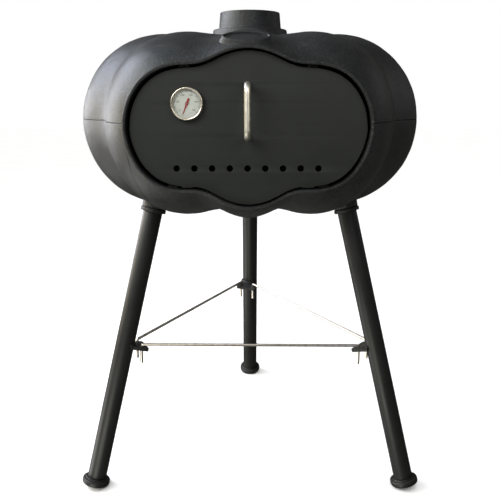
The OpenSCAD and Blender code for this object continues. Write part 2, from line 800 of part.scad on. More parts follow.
module brace_bracket_left() { brace_bracket(LEG_LEFT); }
module brace_bracket_right() { brace_bracket(LEG_RIGHT); }
module brace_bracket_rear() { brace_bracket(LEG_REAR); }

// Where the rods' upright ends pass through the brackets, level with the plate's middle
function rod_hole(leg, side) =
    let (turn = bracket_turns[leg], along = bracket_pos + bracket_rises[leg] + bracket_t / 2,
         x = -rod_hole_in * cos(turn) - side * rod_hole_side * sin(turn),
         y = -rod_hole_in * sin(turn) + side * rod_hole_side * cos(turn),
         r = foot_rs[leg] - along * sin(leg_tilt) + x * cos(leg_tilt))
    [r * cos(leg_angles[leg]) - y * sin(leg_angles[leg]),
     r * sin(leg_angles[leg]) + y * cos(leg_angles[leg]),
     foot_base_z + along * cos(leg_tilt) + x * sin(leg_tilt)];
module at_rod_hole(leg, side) {
    translate(rod_hole(leg, side)) children();
}

// Rod: straight between two brackets, its ends bent down through them
rod_bend = 6;
rod_rise = 9;
module brace_rod(from, to) {
    a = rod_hole(from, 1);
    b = rod_hole(to, -1);
    span = norm(b - a);
    heading = atan2(b[1] - a[1], b[0] - a[0]);
    slope = asin((b[2] - a[2]) / span);
    color(STEEL) placed() translate([a[0], a[1], a[2] + rod_rise]) rotate([0, -slope, heading]) {
        translate([rod_bend - 0.01, 0, 0]) rotate([0, 90, 0])
            cylinder(d = rod_d, h = span - 2 * rod_bend + 0.02, $fn = 32);
        for (end = [0, 1]) translate([end * span, 0, 0]) mirror([end, 0, 0]) {
            translate([rod_bend, 0, -rod_bend]) rotate([90, 0, 0])
                rotate([0, 0, 90]) rotate_extrude(angle = 90, $fn = 48)
                    translate([rod_bend, 0]) circle(d = rod_d, $fn = 32);
            translate([0, 0, -rod_drop - rod_bend]) cylinder(d = rod_d, h = rod_drop + 0.01, $fn = 32);
        }
    }
}
module brace_rod_front() { brace_rod(LEG_LEFT, LEG_RIGHT); }
module brace_rod_right() { brace_rod(LEG_RIGHT, LEG_REAR); }
module brace_rod_left() { brace_rod(LEG_REAR, LEG_LEFT); }

// Cast fire grate on the four posts
grate_t = 12;
grate_rim = 16;
grate_bars = 9;
grate_bar_w = 11;
module fire_grate() {
    w = fire_grate_w;
    l = fire_grate_l;
    gap = (w - 2 * grate_rim) / grate_bars;
    color(IRON) placed() translate([0, 0, fire_grate_z + 0.3]) difference() {
        translate([-w / 2, -l / 2, 0]) cube([w, l, grate_t]);
        for (i = [0:grate_bars - 1], slot_y = [grate_rim - l / 2, grate_rim / 2])
            translate([-w / 2 + grate_rim + gap * i + grate_bar_w / 2, slot_y, -1])
                cube([gap - grate_bar_w, l / 2 - 1.5 * grate_rim, grate_t + 2]);
    }
}

// Wire cooking grate: a rim, cross wires and four legs that stand on the fire grate
rim_wire_d = 7;
wire_d = 4.5;
wire_pitch = 19;
cook_leg_x = 154;
cook_leg_y = 114;
module rod_x(x0, x1, y, z, d) {
    translate([x0, y, z]) rotate([0, 90, 0]) cylinder(d = d, h = x1 - x0, $fn = 24);
}
module rod_y(x, y0, y1, z, d) {
    translate([x, y0, z]) rotate([-90, 0, 0]) cylinder(d = d, h = y1 - y0, $fn = 24);
}
module cooking_grate() {
    hw = cook_grate_w / 2;
    hl = cook_grate_l / 2;
    wires = floor((cook_grate_w - 2 * rim_wire_d) / wire_pitch / 2);
    foot_z = fire_grate_z + grate_t + 0.6;
    color(STEEL) placed() {
        for (side = [-1, 1]) {
            rod_x(-hw, hw, side * hl, cook_grate_z, rim_wire_d);
            rod_y(side * hw, -hl, hl, cook_grate_z, rim_wire_d);
            for (end = [-1, 1]) translate([side * hw, end * hl, cook_grate_z])
                sphere(d = rim_wire_d, $fn = 24);
            rod_x(-hw, hw, side * cook_leg_y, cook_grate_z, rim_wire_d - 1);
            for (x = [-cook_leg_x, cook_leg_x])
                translate([x, side * cook_leg_y, foot_z])
                    cylinder(d = rim_wire_d, h = cook_grate_z - foot_z, $fn = 24);
        }
        for (i = [-wires:wires]) rod_y(i * wire_pitch, -hl, hl, cook_grate_z, wire_d);
    }
}

upper_shell();
lower_shell();
seam_bolts();
seam_nuts();
flue_collar();
collar_screws();
door_plate();
door_handle();
handle_washers();
handle_nuts();
thermometer_case();
thermometer_bezel();
thermometer_glass();
thermometer_dial();
thermometer_needle();
thermometer_spindle();
thermometer_probe();
thermometer_nut();
leg_tube_left();
leg_tube_right();
leg_tube_rear();
leg_socket_left();
leg_socket_right();
leg_socket_rear();
leg_studs();
leg_nuts();
foot_cap_left();
foot_cap_right();
foot_cap_rear();
brace_bracket_left();
brace_bracket_right();
brace_bracket_rear();
brace_rod_front();
brace_rod_left();
brace_rod_right();
fire_grate();
cooking_grate();
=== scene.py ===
"""Looks of a pumpkin-shaped cast-iron garden oven on a braced tripod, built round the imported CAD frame.

Lengths are in millimetres from the body's own upright axis and the floor, until mesh_piece() writes them in
metres.
"""

import math

import bmesh
import bpy
import numpy as np
from mathutils import Matrix, Vector, noise
from mathutils.bvhtree import BVHTree


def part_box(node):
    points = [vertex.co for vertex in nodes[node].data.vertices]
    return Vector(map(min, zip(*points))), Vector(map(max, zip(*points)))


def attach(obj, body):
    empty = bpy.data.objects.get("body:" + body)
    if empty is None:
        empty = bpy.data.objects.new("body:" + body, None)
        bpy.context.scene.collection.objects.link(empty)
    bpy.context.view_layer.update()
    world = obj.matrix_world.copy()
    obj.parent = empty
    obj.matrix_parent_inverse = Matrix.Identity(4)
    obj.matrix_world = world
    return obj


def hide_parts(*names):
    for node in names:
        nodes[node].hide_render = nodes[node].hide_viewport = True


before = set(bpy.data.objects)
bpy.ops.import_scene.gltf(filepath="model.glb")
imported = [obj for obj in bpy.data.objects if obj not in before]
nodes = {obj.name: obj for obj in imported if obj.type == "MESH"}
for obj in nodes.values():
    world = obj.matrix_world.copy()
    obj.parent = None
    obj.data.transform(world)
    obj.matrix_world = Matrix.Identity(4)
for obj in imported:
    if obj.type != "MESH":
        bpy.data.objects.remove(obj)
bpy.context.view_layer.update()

MM = 0.001
COLLAR_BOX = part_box("flue_collar")
AXIS_Y = (COLLAR_BOX[0].y + COLLAR_BOX[1].y) / 2 / MM

# ---------------------------------------------------------------- camera and light

CAMERA_BACK = 1514
CAMERA_HEIGHT = 853
CAMERA_PITCH = 13.395
CAMERA_LENS = 46.978

camera_data = bpy.data.cameras.new("camera")
camera_data.lens = CAMERA_LENS
camera_data.sensor_width = 36
camera = bpy.data.objects.new("camera", camera_data)
camera.location = (0, (AXIS_Y - CAMERA_BACK) * MM, CAMERA_HEIGHT * MM)
camera.rotation_euler = (math.radians(90 - CAMERA_PITCH), 0, 0)
bpy.context.scene.collection.objects.link(camera)
bpy.context.scene.camera = camera
bpy.context.scene.view_settings.view_transform = "Standard"


STUDIO_MIDDLE = Vector((0, -0.04, 0.75))
LIGHT_DISTANCE = 2.5
LIGHT_SIZE = 1.3
LIGHT_POWER = 50


def disk_light(name, azimuth, height, colour):
    """A soft round light aimed at the oven. Azimuth is in degrees from the right, round by the back, and
    height is in degrees above the oven's middle."""
    data = bpy.data.lights.new(name, "AREA")
    data.shape = "DISK"
    data.size = LIGHT_SIZE
    data.energy = LIGHT_POWER * max(colour)
    data.color = [c / max(colour) for c in colour]
    light = bpy.data.objects.new(name, data)
    a, h = math.radians(azimuth), math.radians(height)
    away = Vector((math.cos(a) * math.cos(h), math.sin(a) * math.cos(h), math.sin(h)))
    light.location = STUDIO_MIDDLE + away * LIGHT_DISTANCE
    light.rotation_euler = away.to_track_quat("Z", "Y").to_euler()
    bpy.context.scene.collection.objects.link(light)
    return light


disk_light("left_key", 165, 35, (0.81, 0.86, 1.02))
disk_light("left_edge", 150, 5, (0.52, 0.52, 0.54))
disk_light("left_front", 198, 32, (0.46, 0.48, 0.42))
disk_light("left_warm", 180, 5, (0.30, 0.25, 0.14))
disk_light("bounce_left", 180, -35, (0.27, 0.27, 0.26))
disk_light("bounce_front", 240, -35, (0.30, 0.30, 0.27))
disk_light("front_left", 218, 20, (0.12, 0.13, 0.14))
disk_light("front_high", 255, 35, (0.18, 0.165, 0.154))
disk_light("front_right", 285, 35, (0.074, 0.083, 0.093))
disk_light("top_soft", 180, 65, (0.045, 0.06, 0.07))
disk_light("right_edge", 15, 20, (0.035, 0.035, 0.035))


def add_node(tree, kind, inputs=(), **settings):
    """A shader node with its settings, and its inputs given as numbers, colours or other nodes' outputs."""
    node = tree.nodes.new(kind)
    for key, value in settings.items():
        setattr(node, key, value)
    for key, value in dict(inputs).items():
        if isinstance(value, bpy.types.NodeSocket):
            tree.links.new(value, node.inputs[key])
        else:
            node.inputs[key].default_value = value
    return node


# White behind the object, and a dimmer, slightly warm light from all round
world = bpy.data.worlds.new("studio")
bpy.context.scene.world = world
world.use_nodes = True
world.node_tree.nodes.clear()
seen = add_node(world.node_tree, "ShaderNodeBackground", {"Color": (1, 1, 1, 1), "Strength": 1.0})
ambient = add_node(world.node_tree, "ShaderNodeBackground", {"Color": (1.0, 1.0, 0.92, 1), "Strength": 0.075})
ray = add_node(world.node_tree, "ShaderNodeLightPath")
mix = add_node(world.node_tree, "ShaderNodeMixShader",
               {0: ray.outputs["Is Camera Ray"], 1: ambient.outputs[0], 2: seen.outputs[0]})
add_node(world.node_tree, "ShaderNodeOutputWorld", {"Surface": mix.outputs[0]})

# ---------------------------------------------------------------- materials


class Finish:
    """A node material being put together: coordinates in metres, patterns, and one Principled shader."""

    def __init__(self, name, metallic=0.0, specular=0.5):
        self.material = bpy.data.materials.new(name)
        self.material.use_nodes = True
        self.tree = self.material.node_tree
        self.shader = self.tree.nodes["Principled BSDF"]
        self.shader.inputs["Metallic"].default_value = metallic
        self.shader.inputs["Specular IOR Level"].default_value = specular
        self.place = self.node("ShaderNodeTexCoord").outputs["Object"]
        self.normal = None

    def node(self, kind, inputs=(), **settings):
        return add_node(self.tree, kind, inputs, **settings)

    def stretched(self, scale):
        """Coordinates squeezed by a scale per axis, for drawn or brushed grain."""
        return self.node("ShaderNodeMapping", {"Scale": scale, "Vector": self.place}).outputs["Vector"]

    def grain(self, size, detail=3.0, rough=0.6, place=None):
        """Noise whose features are about this many millimetres across."""
        made = self.node("ShaderNodeTexNoise", {"Scale": 1 / (size * MM), "Detail": detail,
                                                "Roughness": rough, "Vector": place or self.place})
        return made.outputs["Fac"]

    def cells(self, size):
        """Distance from the middles of cells about this many millimetres across."""
        made = self.node("ShaderNodeTexVoronoi", {"Scale": 1 / (size * MM), "Vector": self.place})
        return made.outputs["Distance"]

    def spread(self, value, low, high, to_low=0.0, to_high=1.0):
        """Maps a value from one range to another, clamped."""
        return self.node("ShaderNodeMapRange", {"Value": value, "From Min": low, "From Max": high,
                                                "To Min": to_low, "To Max": to_high}).outputs["Result"]

    def math(self, operation, a, b):
        return self.node("ShaderNodeMath", {0: a, 1: b}, operation=operation).outputs[0]

    def blend(self, factor, a, b):
        """A colour between a and b, each a colour or a socket."""
        a, b = ((*c, 1) if isinstance(c, tuple) else c for c in (a, b))
        return self.node("ShaderNodeMix", {"Factor": factor, 6: a, 7: b}, data_type="RGBA").outputs[2]

    def colour(self, socket):
        self.tree.links.new(socket, self.shader.inputs["Base Color"])

    def rough(self, socket):
        self.tree.links.new(socket, self.shader.inputs["Roughness"])

    def bump(self, height, distance, strength=1.0):
        """Adds relief of about this many millimetres on top of what is there."""
        inputs = {"Distance": distance * MM, "Strength": strength, "Height": height}
        if self.normal:
            inputs["Normal"] = self.normal
        self.normal = self.node("ShaderNodeBump", inputs).outputs["Normal"]
        self.tree.links.new(self.normal, self.shader.inputs["Normal"])


def cast_iron(name, dark, light, rough, grain, speck):
    """Sand-cast iron under thin black paint: sandy skin, soft mottling, pale specks and fine pits."""
    f = Finish(name)
    mottle = f.grain(55, 2)
    sand = f.grain(grain, 3, 0.65)
    fine = f.grain(grain * 0.45, 2, 0.5)
    pits = f.cells(grain * 5)
    body = f.blend(f.spread(mottle, 0.35, 0.65), dark, light)
    dusty = f.spread(f.math("MULTIPLY", sand, fine), 0.34, 0.46)
    patches = f.spread(f.grain(45, 3), 0.40, 0.62, 0.15, 1)
    worn = f.math("MULTIPLY", f.spread(f.grain(2.4, 2, 0.7), 0.58, 0.70), patches)
    pale = f.math("ADD", f.math("MULTIPLY", dusty, speck), f.math("MULTIPLY", worn, speck * 0.4))
    f.colour(f.blend(pale, body, (0.36, 0.35, 0.33)))
    f.rough(f.math("ADD", f.spread(mottle, 0.3, 0.7, rough - 0.05, rough + 0.05),
                   f.spread(sand, 0.3, 0.7, -0.06, 0.06)))
    f.bump(f.grain(14, 2), 0.35, 0.5)
    f.bump(f.grain(grain * 1.7, 2, 0.6), 0.75, 0.85)
    f.bump(sand, 0.6, 0.9)
    f.bump(f.spread(pits, 0.0, 0.25), 0.18, 0.35)
    f.bump(fine, 0.12, 0.5)
    return f.material


def painted(name, dark, light, rough, relief, size=0.9, specular=0.5):
    """Stove paint or powder coat on steel: faint mottling and a fine orange-peel skin."""
    f = Finish(name, specular=specular)
    mottle = f.grain(70, 3)
    peel = f.grain(size, 2, 0.5)
    f.colour(f.blend(f.spread(mottle, 0.35, 0.65), dark, light))
    f.rough(f.math("ADD", f.spread(mottle, 0.3, 0.7, rough - 0.04, rough + 0.04),
                   f.spread(peel, 0.3, 0.7, -0.04, 0.04)))
    f.bump(f.grain(24, 2), 0.15, 0.3)
    f.bump(peel, relief, 0.5)
    return f.material


def steel(name, dark, light, rough, stretch, relief=0.02):
    """Bright metal with drawn or brushed grain along one axis and a little uneven polish."""
    f = Finish(name, metallic=1.0)
    lines = f.grain(0.5, 3, 0.6, f.stretched(stretch))
    cloud = f.grain(9, 2)
    f.colour(f.blend(f.spread(cloud, 0.35, 0.65), dark, light))
    f.rough(f.math("ADD", f.spread(lines, 0.3, 0.7, rough - 0.05, rough + 0.07),
                   f.spread(cloud, 0.3, 0.7, -0.03, 0.04)))
    f.bump(lines, relief, 0.5)
    return f.material


SHELL_IRON = cast_iron("shell_iron", (0.022, 0.023, 0.025), (0.034, 0.035, 0.037), 0.42, 2.1, 1.0)
BRACKET_IRON = cast_iron("bracket_iron", (0.020, 0.020, 0.021), (0.034, 0.033, 0.032), 0.42, 0.9, 0.25)
GRATE_IRON = cast_iron("grate_iron", (0.05, 0.047, 0.044), (0.085, 0.078, 0.07), 0.62, 1.4, 0.4)
DOOR_BLACK = painted("door_black", (0.0125, 0.0140, 0.0135), (0.0150, 0.0166, 0.0160), 0.66, 0.05,
                     specular=0.17)
LEG_BLACK = painted("leg_black", (0.022, 0.022, 0.022), (0.027, 0.027, 0.027), 0.44, 0.04, 0.7)
HANDLE_STEEL = steel("handle_steel", (0.50, 0.48, 0.43), (0.60, 0.58, 0.52), 0.43, (1, 1, 0.04))
ROD_STEEL = steel("rod_steel", (0.86, 0.78, 0.69), (0.95, 0.88, 0.79), 0.30, (1, 1, 1))
GRATE_STEEL = steel("grate_steel", (0.52, 0.50, 0.47), (0.66, 0.64, 0.61), 0.30, (1, 0.05, 1))
BEZEL_STEEL = steel("bezel_steel", (0.60, 0.55, 0.47), (0.67, 0.62, 0.55), 0.27, (1, 1, 1), 0.006)
ZINC = steel("zinc", (0.46, 0.47, 0.48), (0.60, 0.61, 0.62), 0.34, (1, 1, 1), 0.04)


def enamel(name, dark, light, rough):
    """Printed or painted sheet: almost even, with a faint cloud and a very fine grain."""
    f = Finish(name, specular=0.4)
    cloud = f.grain(11, 2)
    f.colour(f.blend(f.spread(cloud, 0.3, 0.7), dark, light))
    f.rough(f.spread(cloud, 0.3, 0.7, rough - 0.05, rough + 0.05))
    f.bump(f.grain(0.4, 2), 0.01, 0.4)
    return f.material


DIAL_WHITE = enamel("dial_white", (0.47, 0.455, 0.45), (0.50, 0.485, 0.48), 0.55)
DIAL_INK = enamel("dial_ink", (0.016, 0.016, 0.016), (0.024, 0.024, 0.024), 0.6)
NEEDLE_RED = enamel("needle_red", (0.27, 0.024, 0.030), (0.33, 0.033, 0.040), 0.4)


def glass(name):
    """Clear gauge glass: light goes straight through, and either face reflects more at a slant. The slant is
    taken from the facing angle, because a Fresnel node would turn the back face into a mirror."""
    material = bpy.data.materials.new(name)
    material.use_nodes = True
    t = material.node_tree
    t.nodes.clear()
    through = add_node(t, "ShaderNodeBsdfTransparent", {"Color": (0.95, 0.97, 0.96, 1)})
    shine = add_node(t, "ShaderNodeBsdfGlossy", {"Roughness": 0.04})
    slant = add_node(t, "ShaderNodeLayerWeight", {"Blend": 0.5}).outputs["Facing"]
    power = add_node(t, "ShaderNodeMath", {0: slant, 1: 5}, operation="POWER").outputs[0]
    edge = add_node(t, "ShaderNodeMath", {0: power, 1: 0.96, 2: 0.04}, operation="MULTIPLY_ADD").outputs[0]
    joined = add_node(t, "ShaderNodeMixShader", {0: edge, 1: through.outputs[0], 2: shine.outputs[0]})
    add_node(t, "ShaderNodeOutputMaterial", {"Surface": joined.outputs[0]})
    return material


GAUGE_GLASS = glass("gauge_glass")

# ---------------------------------------------------------------- mesh helpers


def circle(x, y, r, count=48):
    """Points of a circle, from its right side round to the left."""
    return [(x + r * math.cos(2 * math.pi * i / count), y + r * math.sin(2 * math.pi * i / count))
            for i in range(count)]


def numbered(rings, count):
    """Point numbers of so many rings of so many points each, made one ring after another."""
    return [list(range(j * count, (j + 1) * count)) for j in range(rings)]


def bands(rings, closed=True):
    """Quads that join each ring of point numbers to the next."""
    faces = []
    for a, b in zip(rings[:-1], rings[1:]):
        for i in range(len(a) if closed else len(a) - 1):
            k = (i + 1) % len(a)
            faces.append((a[i], a[k], b[k], b[i]))
    return faces


def capped(rings):
    """Bands between rings of point numbers, with a flat face at either end."""
    return bands(rings) + [tuple(rings[0][::-1]), tuple(rings[-1])]


def moved(points, place):
    """Points as an array, carried along by a matrix if there is one."""
    points = np.array(points, float).reshape(-1, 3)
    if place is None:
        return points
    matrix = np.array(place)
    return points @ matrix[:3, :3].T + matrix[:3, 3]


def build_mesh(name, points, faces):
    """A mesh whose faces all look outwards."""
    mesh = bpy.data.meshes.new(name)
    mesh.from_pydata(points, [], faces)
    mesh.update()
    bm = bmesh.new()
    bm.from_mesh(mesh)
    bmesh.ops.recalc_face_normals(bm, faces=bm.faces)
    bm.to_mesh(mesh)
    bm.free()
    return mesh


def mesh_piece(name, verts, faces, body, slot, material, replaced=(), sharp=38, place=None):
    """Makes a piece from points in millimetres. place is a matrix in millimetres, applied first."""
    points = (moved(verts, place) + [0, AXIS_Y, 0]) * MM
    mesh = build_mesh(name, points.tolist(), faces)
    mesh.shade_smooth()
    mesh.set_sharp_from_angle(angle=math.radians(sharp))
    mesh.materials.append(material)
    piece = bpy.data.objects.new(name, mesh)
    bpy.context.scene.collection.objects.link(piece)
    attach(piece, body)
    if replaced:
        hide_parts(*replaced)


class Solid:
    """Points and faces of several closed meshes, gathered into one piece."""

    def __init__(self):
        self.verts = []
        self.faces = []

    def add(self, verts, faces, place=None):
        start = len(self.verts)
        self.verts.extend(moved(verts, place).tolist())
        self.faces.extend([tuple(start + i for i in face) for face in faces])
        return self


def revolve(profile, sides):
    """A closed profile of (radius, height) turned round Z. Points on the axis become poles."""
    verts, rings = [], []
    for r, z in profile:
        ring = [(0, 0, z)] if r < 1e-6 else [(x, y, z) for x, y in circle(0, 0, r, sides)]
        rings.append([len(verts) + i % len(ring) for i in range(sides)])
        verts.extend(ring)
    if profile[0][0] > 1e-6 or profile[-1][0] > 1e-6:
        rings.append(rings[0])
    faces = [tuple(dict.fromkeys(face)) for face in bands(rings)]
    return verts, [face for face in faces if len(face) > 2]


def rounded(points, radii, steps=5):
    """A profile whose corners are rounded: each point has its own radius, 0 for sharp."""
    out = []
    n = len(points)
    for i, (p, r) in enumerate(zip(points, radii)):
        if r <= 0:
            out.append(tuple(p))
            continue
        p = Vector(p)
        before, after = Vector(points[i - 1]), Vector(points[(i + 1) % n])
        d0, d1 = (before - p).normalized(), (after - p).normalized()
        angle = d0.angle(d1)
        cut = min(r / math.tan(angle / 2), (before - p).length * 0.49, (after - p).length * 0.49)
        a, b = p + d0 * cut, p + d1 * cut
        for k in range(steps + 1):
            t = k / steps
            out.append(tuple((1 - t) ** 2 * a + 2 * t * (1 - t) * p + t * t * b))
    return out


DOME_STEPS = 4


def sweep(path, radius, sides, dome):
    """A round bar along a path of points, with gently domed ends."""
    pts = [Vector(p) for p in path]
    last = len(pts) - 1
    tangents = [(pts[min(i + 1, last)] - pts[max(i - 1, 0)]).normalized() for i in range(last + 1)]
    previous = tangents[0]
    side = previous.orthogonal().normalized()
    frames = []
    for p, t in zip(pts, tangents):
        side = previous.rotation_difference(t) @ side
        side = (side - t * side.dot(t)).normalized()
        previous = t
        frames.append((p, t, side))

    def end_rings(p, t, s, inwards):
        """From the flat end face out to the full radius."""
        return [(p + t * inwards * dome * (1 - math.cos(a)), t, s, radius - dome * (1 - math.sin(a)))
                for a in (math.pi / 2 * k / DOME_STEPS for k in range(DOME_STEPS))]

    middle = [(*frame_, radius) for frame_ in frames]
    middle[0] = (pts[0] + tangents[0] * dome, *frames[0][1:], radius)
    middle[-1] = (pts[-1] - tangents[-1] * dome, *frames[-1][1:], radius)
    rings = end_rings(*frames[0], 1) + middle + end_rings(*frames[-1], -1)[::-1]
    verts = []
    for p, t, s, r in rings:
        u = t.cross(s)
        verts.extend(tuple(p + s * x + u * y) for x, y in circle(0, 0, r, sides))
    return verts, capped(numbered(len(rings), sides))


def filled(data):
    """The mesh of a filled curve, which is then removed."""
    holder = bpy.data.objects.new(data.name, data)
    bpy.context.scene.collection.objects.link(holder)
    bpy.context.view_layer.update()
    mesh = bpy.data.meshes.new_from_object(holder.evaluated_get(bpy.context.evaluated_depsgraph_get()))
    bpy.data.objects.remove(holder)
    bpy.data.curves.remove(data)
    return mesh


def plate(loops, thickness, bevel, steps):
    """A flat plate from closed loops in the X-Y plane, the first the outline and the rest holes, with rounded
    edges. It runs from z = 0 to z = thickness."""
    data = bpy.data.curves.new("plate", "CURVE")
    data.dimensions = "2D"
    data.fill_mode = "BOTH"
    data.extrude = thickness / 2 - bevel
    data.bevel_depth = bevel
    data.bevel_resolution = steps
    data.offset = -bevel
    for loop in loops:
        spline = data.splines.new("POLY")
        spline.points.add(len(loop) - 1)
        spline.points.foreach_set("co", [c for x, y in loop for c in (x, y, 0, 1)])
        spline.use_cyclic_u = True
    mesh = filled(data)
    bm = bmesh.new()
    bm.from_mesh(mesh)
    bmesh.ops.remove_doubles(bm, verts=bm.verts, dist=0.001)
    bm.to_mesh(mesh)
    bm.free()
    verts = [(v.co.x, v.co.y, v.co.z + thickness / 2) for v in mesh.vertices]
    faces = [tuple(p.vertices) for p in mesh.polygons]
    bpy.data.meshes.remove(mesh)
    return verts, faces


def soft_box(low, high, edge):
    """A box with rounded edges."""
    (x0, y0, z0), (x1, y1, z1) = low, high
    loop = rounded([(x0, y0), (x1, y0), (x1, y1), (x0, y1)], [edge] * 4, 3)
    cx, cy = (x0 + x1) / 2, (y0 + y1) / 2
    quarter = [math.pi / 8 * k for k in range(5)]
    curve = [(edge * (1 - math.sin(q)), edge * (1 - math.cos(q))) for q in quarter]
    rings = [(inset, z0 + rise) for inset, rise in curve]
    rings += [(inset, z1 - rise) for inset, rise in curve[::-1]]
    verts = []
    for inset, z in rings:
        sx, sy = 1 - 2 * inset / (x1 - x0), 1 - 2 * inset / (y1 - y0)
        verts.extend((cx + (x - cx) * sx, cy + (y - cy) * sy, z) for x, y in loop)
    return verts, capped(numbered(len(rings), len(loop)))


# ---------------------------------------------------------------- the body's lobed skin

SEAM_Z = 802
SECTION_Z = 797
RING_R = 188
WALL = 6.5
FRONT_Y = 309
FRAME_BACK = 287
FRONT_LOBE = 15.5
FLAT_R = 95
SEAT_Z = 973
FLOOR_Z = SECTION_Z - 186
COLLAR_HOLE_R = 62
FLOOR_HOLE_R = 9
# Each size is a row of crests and a row of valleys, from the front round to the back
VALLEY_ANGLES = np.array([-FRONT_LOBE, FRONT_LOBE, 60, 100, 140, 180])
CREASES = np.array([0.5, 0.5, 0.85, 0.85, 0.85, 0.85])
OUT = ([188, 196, 181, 181, 181], [175, 175, 151, 151, 151, 151])
OUT_LOW = ([201, 196, 181, 181, 181], [184, 184, 151, 151, 151, 151])
UP = ([179.5, 178, 183, 183, 183], [165.5, 165.5, 172, 172, 172, 172])
DOWN = ([188, 188, 186, 186, 186], [166.5, 166.5, 165, 165, 165, 165])
SQUARE = ([18, 50, 0, 0, 0], [13, 13, 0, 0, 0, 0])
FRONT_SHIFT = -2.7


def smooth(x):
    c = np.clip(x, 0, 1)
    return c * c * (3 - 2 * c)


def lobed(angle, sizes):
    """A size that swells between each pair of valleys, smoothed over a few degrees near the front."""
    width = 4 * (1 - smooth((np.abs(angle) - 30) / 20))
    shares = ((-1, 1), (-0.5, 2), (0, 2), (0.5, 2), (1, 1))
    return sum(sharp_lobed(angle + width * at, sizes) * share for at, share in shares) / 8


def sharp_lobed(angle, sizes):
    """The unsmoothed size, at angles from the front in degrees."""
    crests, valleys = (np.array(s, float) for s in sizes)
    a = np.minimum(np.abs(angle), 180)
    k = np.clip(np.searchsorted(VALLEY_ANGLES, a, side="left") - 1, 0, 4)
    x = (a - VALLEY_ANGLES[k]) / (VALLEY_ANGLES[k + 1] - VALLEY_ANGLES[k])
    low = valleys[k] + (valleys[k + 1] - valleys[k]) * x
    wave = np.maximum((1 - np.cos(2 * np.pi * x)) / 2, 0)
    power = CREASES[k] + (CREASES[k + 1] - CREASES[k]) * x
    return low + (crests[k] - (valleys[k] + valleys[k + 1]) / 2) * wave ** power


def skin_out(angle, side, grow):
    """How far the skin stands out from the ring and up or down from the section's middle."""
    out = lobed(angle, OUT if side > 0 else OUT_LOW) + grow
    rise = lobed(angle, UP if side > 0 else DOWN) + grow
    return out, rise


def section_r(sine, out, square, angle):
    """Distance from the axis to the section's curve, from its height above the middle as a sine. The section
    is fuller than an ellipse near the front."""
    sine = np.clip(np.abs(sine), 0, 1)
    cosine = np.sqrt(1 - sine ** 2)
    r = RING_R + out * cosine
    return r + square * sine ** 3 * cosine * smooth((r * np.cos(np.radians(angle)) - 170) / 120)


def shift_at(front):
    """How far the casting's front stands to one side, at a distance in front of the axis."""
    return FRONT_SHIFT * smooth((front - 120) / 160)


def reach(th, plane, grow):
    """Distance from the opening's middle to the skin in an upright plane, in directions from upright."""
    s, c = np.sin(np.radians(th)), np.cos(np.radians(th))
    low, high = np.full(len(th), 60.0), np.full(len(th), 300.0)
    for _ in range(40):
        mid = (low + high) / 2
        x, z = mid * s, mid * c
        angle = np.degrees(np.arctan2(np.abs(x), plane))
        r = np.hypot(x, plane)
        upper, lower = skin_out(angle, 1, grow), skin_out(angle, -1, grow)
        out, rise = (np.where(z > 0, *sizes) for sizes in zip(upper, lower))
        inside = (r < section_r(z / rise, out, lobed(angle, SQUARE), angle)) & (np.abs(z) < rise)
        low, high = np.where(inside, mid, low), np.where(inside, high, mid)
    return (low + high) / 2


def outline_at(th, plane, grow):
    """Points (x, z) where an upright plane cuts the skin, in directions from upright."""
    d = reach(np.abs(th), plane, grow)
    return d * np.sin(np.radians(th)), SECTION_Z + d * np.cos(np.radians(th))


LOBE_SAMPLES = 34
SHOULDER_SAMPLES = 86
SIDE_SAMPLES = 230


def half_outline(plane, grow, side):
    """Points (x, z) of the opening from its middle to the seam, evenly spaced, one in the valley."""
    x, z = outline_at(np.linspace(0, 88.9, 3000) if side > 0 else np.linspace(180, 90, 3000), plane, grow)
    if side > 0:
        cut = int(np.argmax(z < SEAM_Z)) or len(z)
        x, z = x[:cut], z[:cut]
    x, z = np.append(x, x[-1]), np.append(z, SEAM_Z)
    s = np.concatenate([[0], np.cumsum(np.hypot(np.diff(x), np.diff(z)))])
    valley = np.interp(plane * math.tan(math.radians(FRONT_LOBE)), np.maximum.accumulate(x), s)
    at = np.concatenate([np.linspace(0, valley, LOBE_SAMPLES + 1)[:-1],
                         np.linspace(valley, s[-1], SHOULDER_SAMPLES + 1)])
    return np.interp(at, s, x), np.interp(at, s, z)


def columns(plane, grow, side):
    """All columns of a shell's skin in order round the body: angle, and height where each one starts."""
    x, z = half_outline(plane, grow, side)
    angle = np.degrees(np.arctan2(x, plane))
    rest = angle[-1] + (180 - angle[-1]) * (np.arange(1, SIDE_SAMPLES + 1) / SIDE_SAMPLES)
    half = np.concatenate([angle, rest])
    start = np.concatenate([z, np.full(SIDE_SAMPLES, float(SEAM_Z))])
    return np.concatenate([-half[:0:-1], half[:-1]]), np.concatenate([start[:0:-1], start[:-1]])


SEAM_ROWS = np.array([0, 0.35, 0.9, 1.8, 3.5])


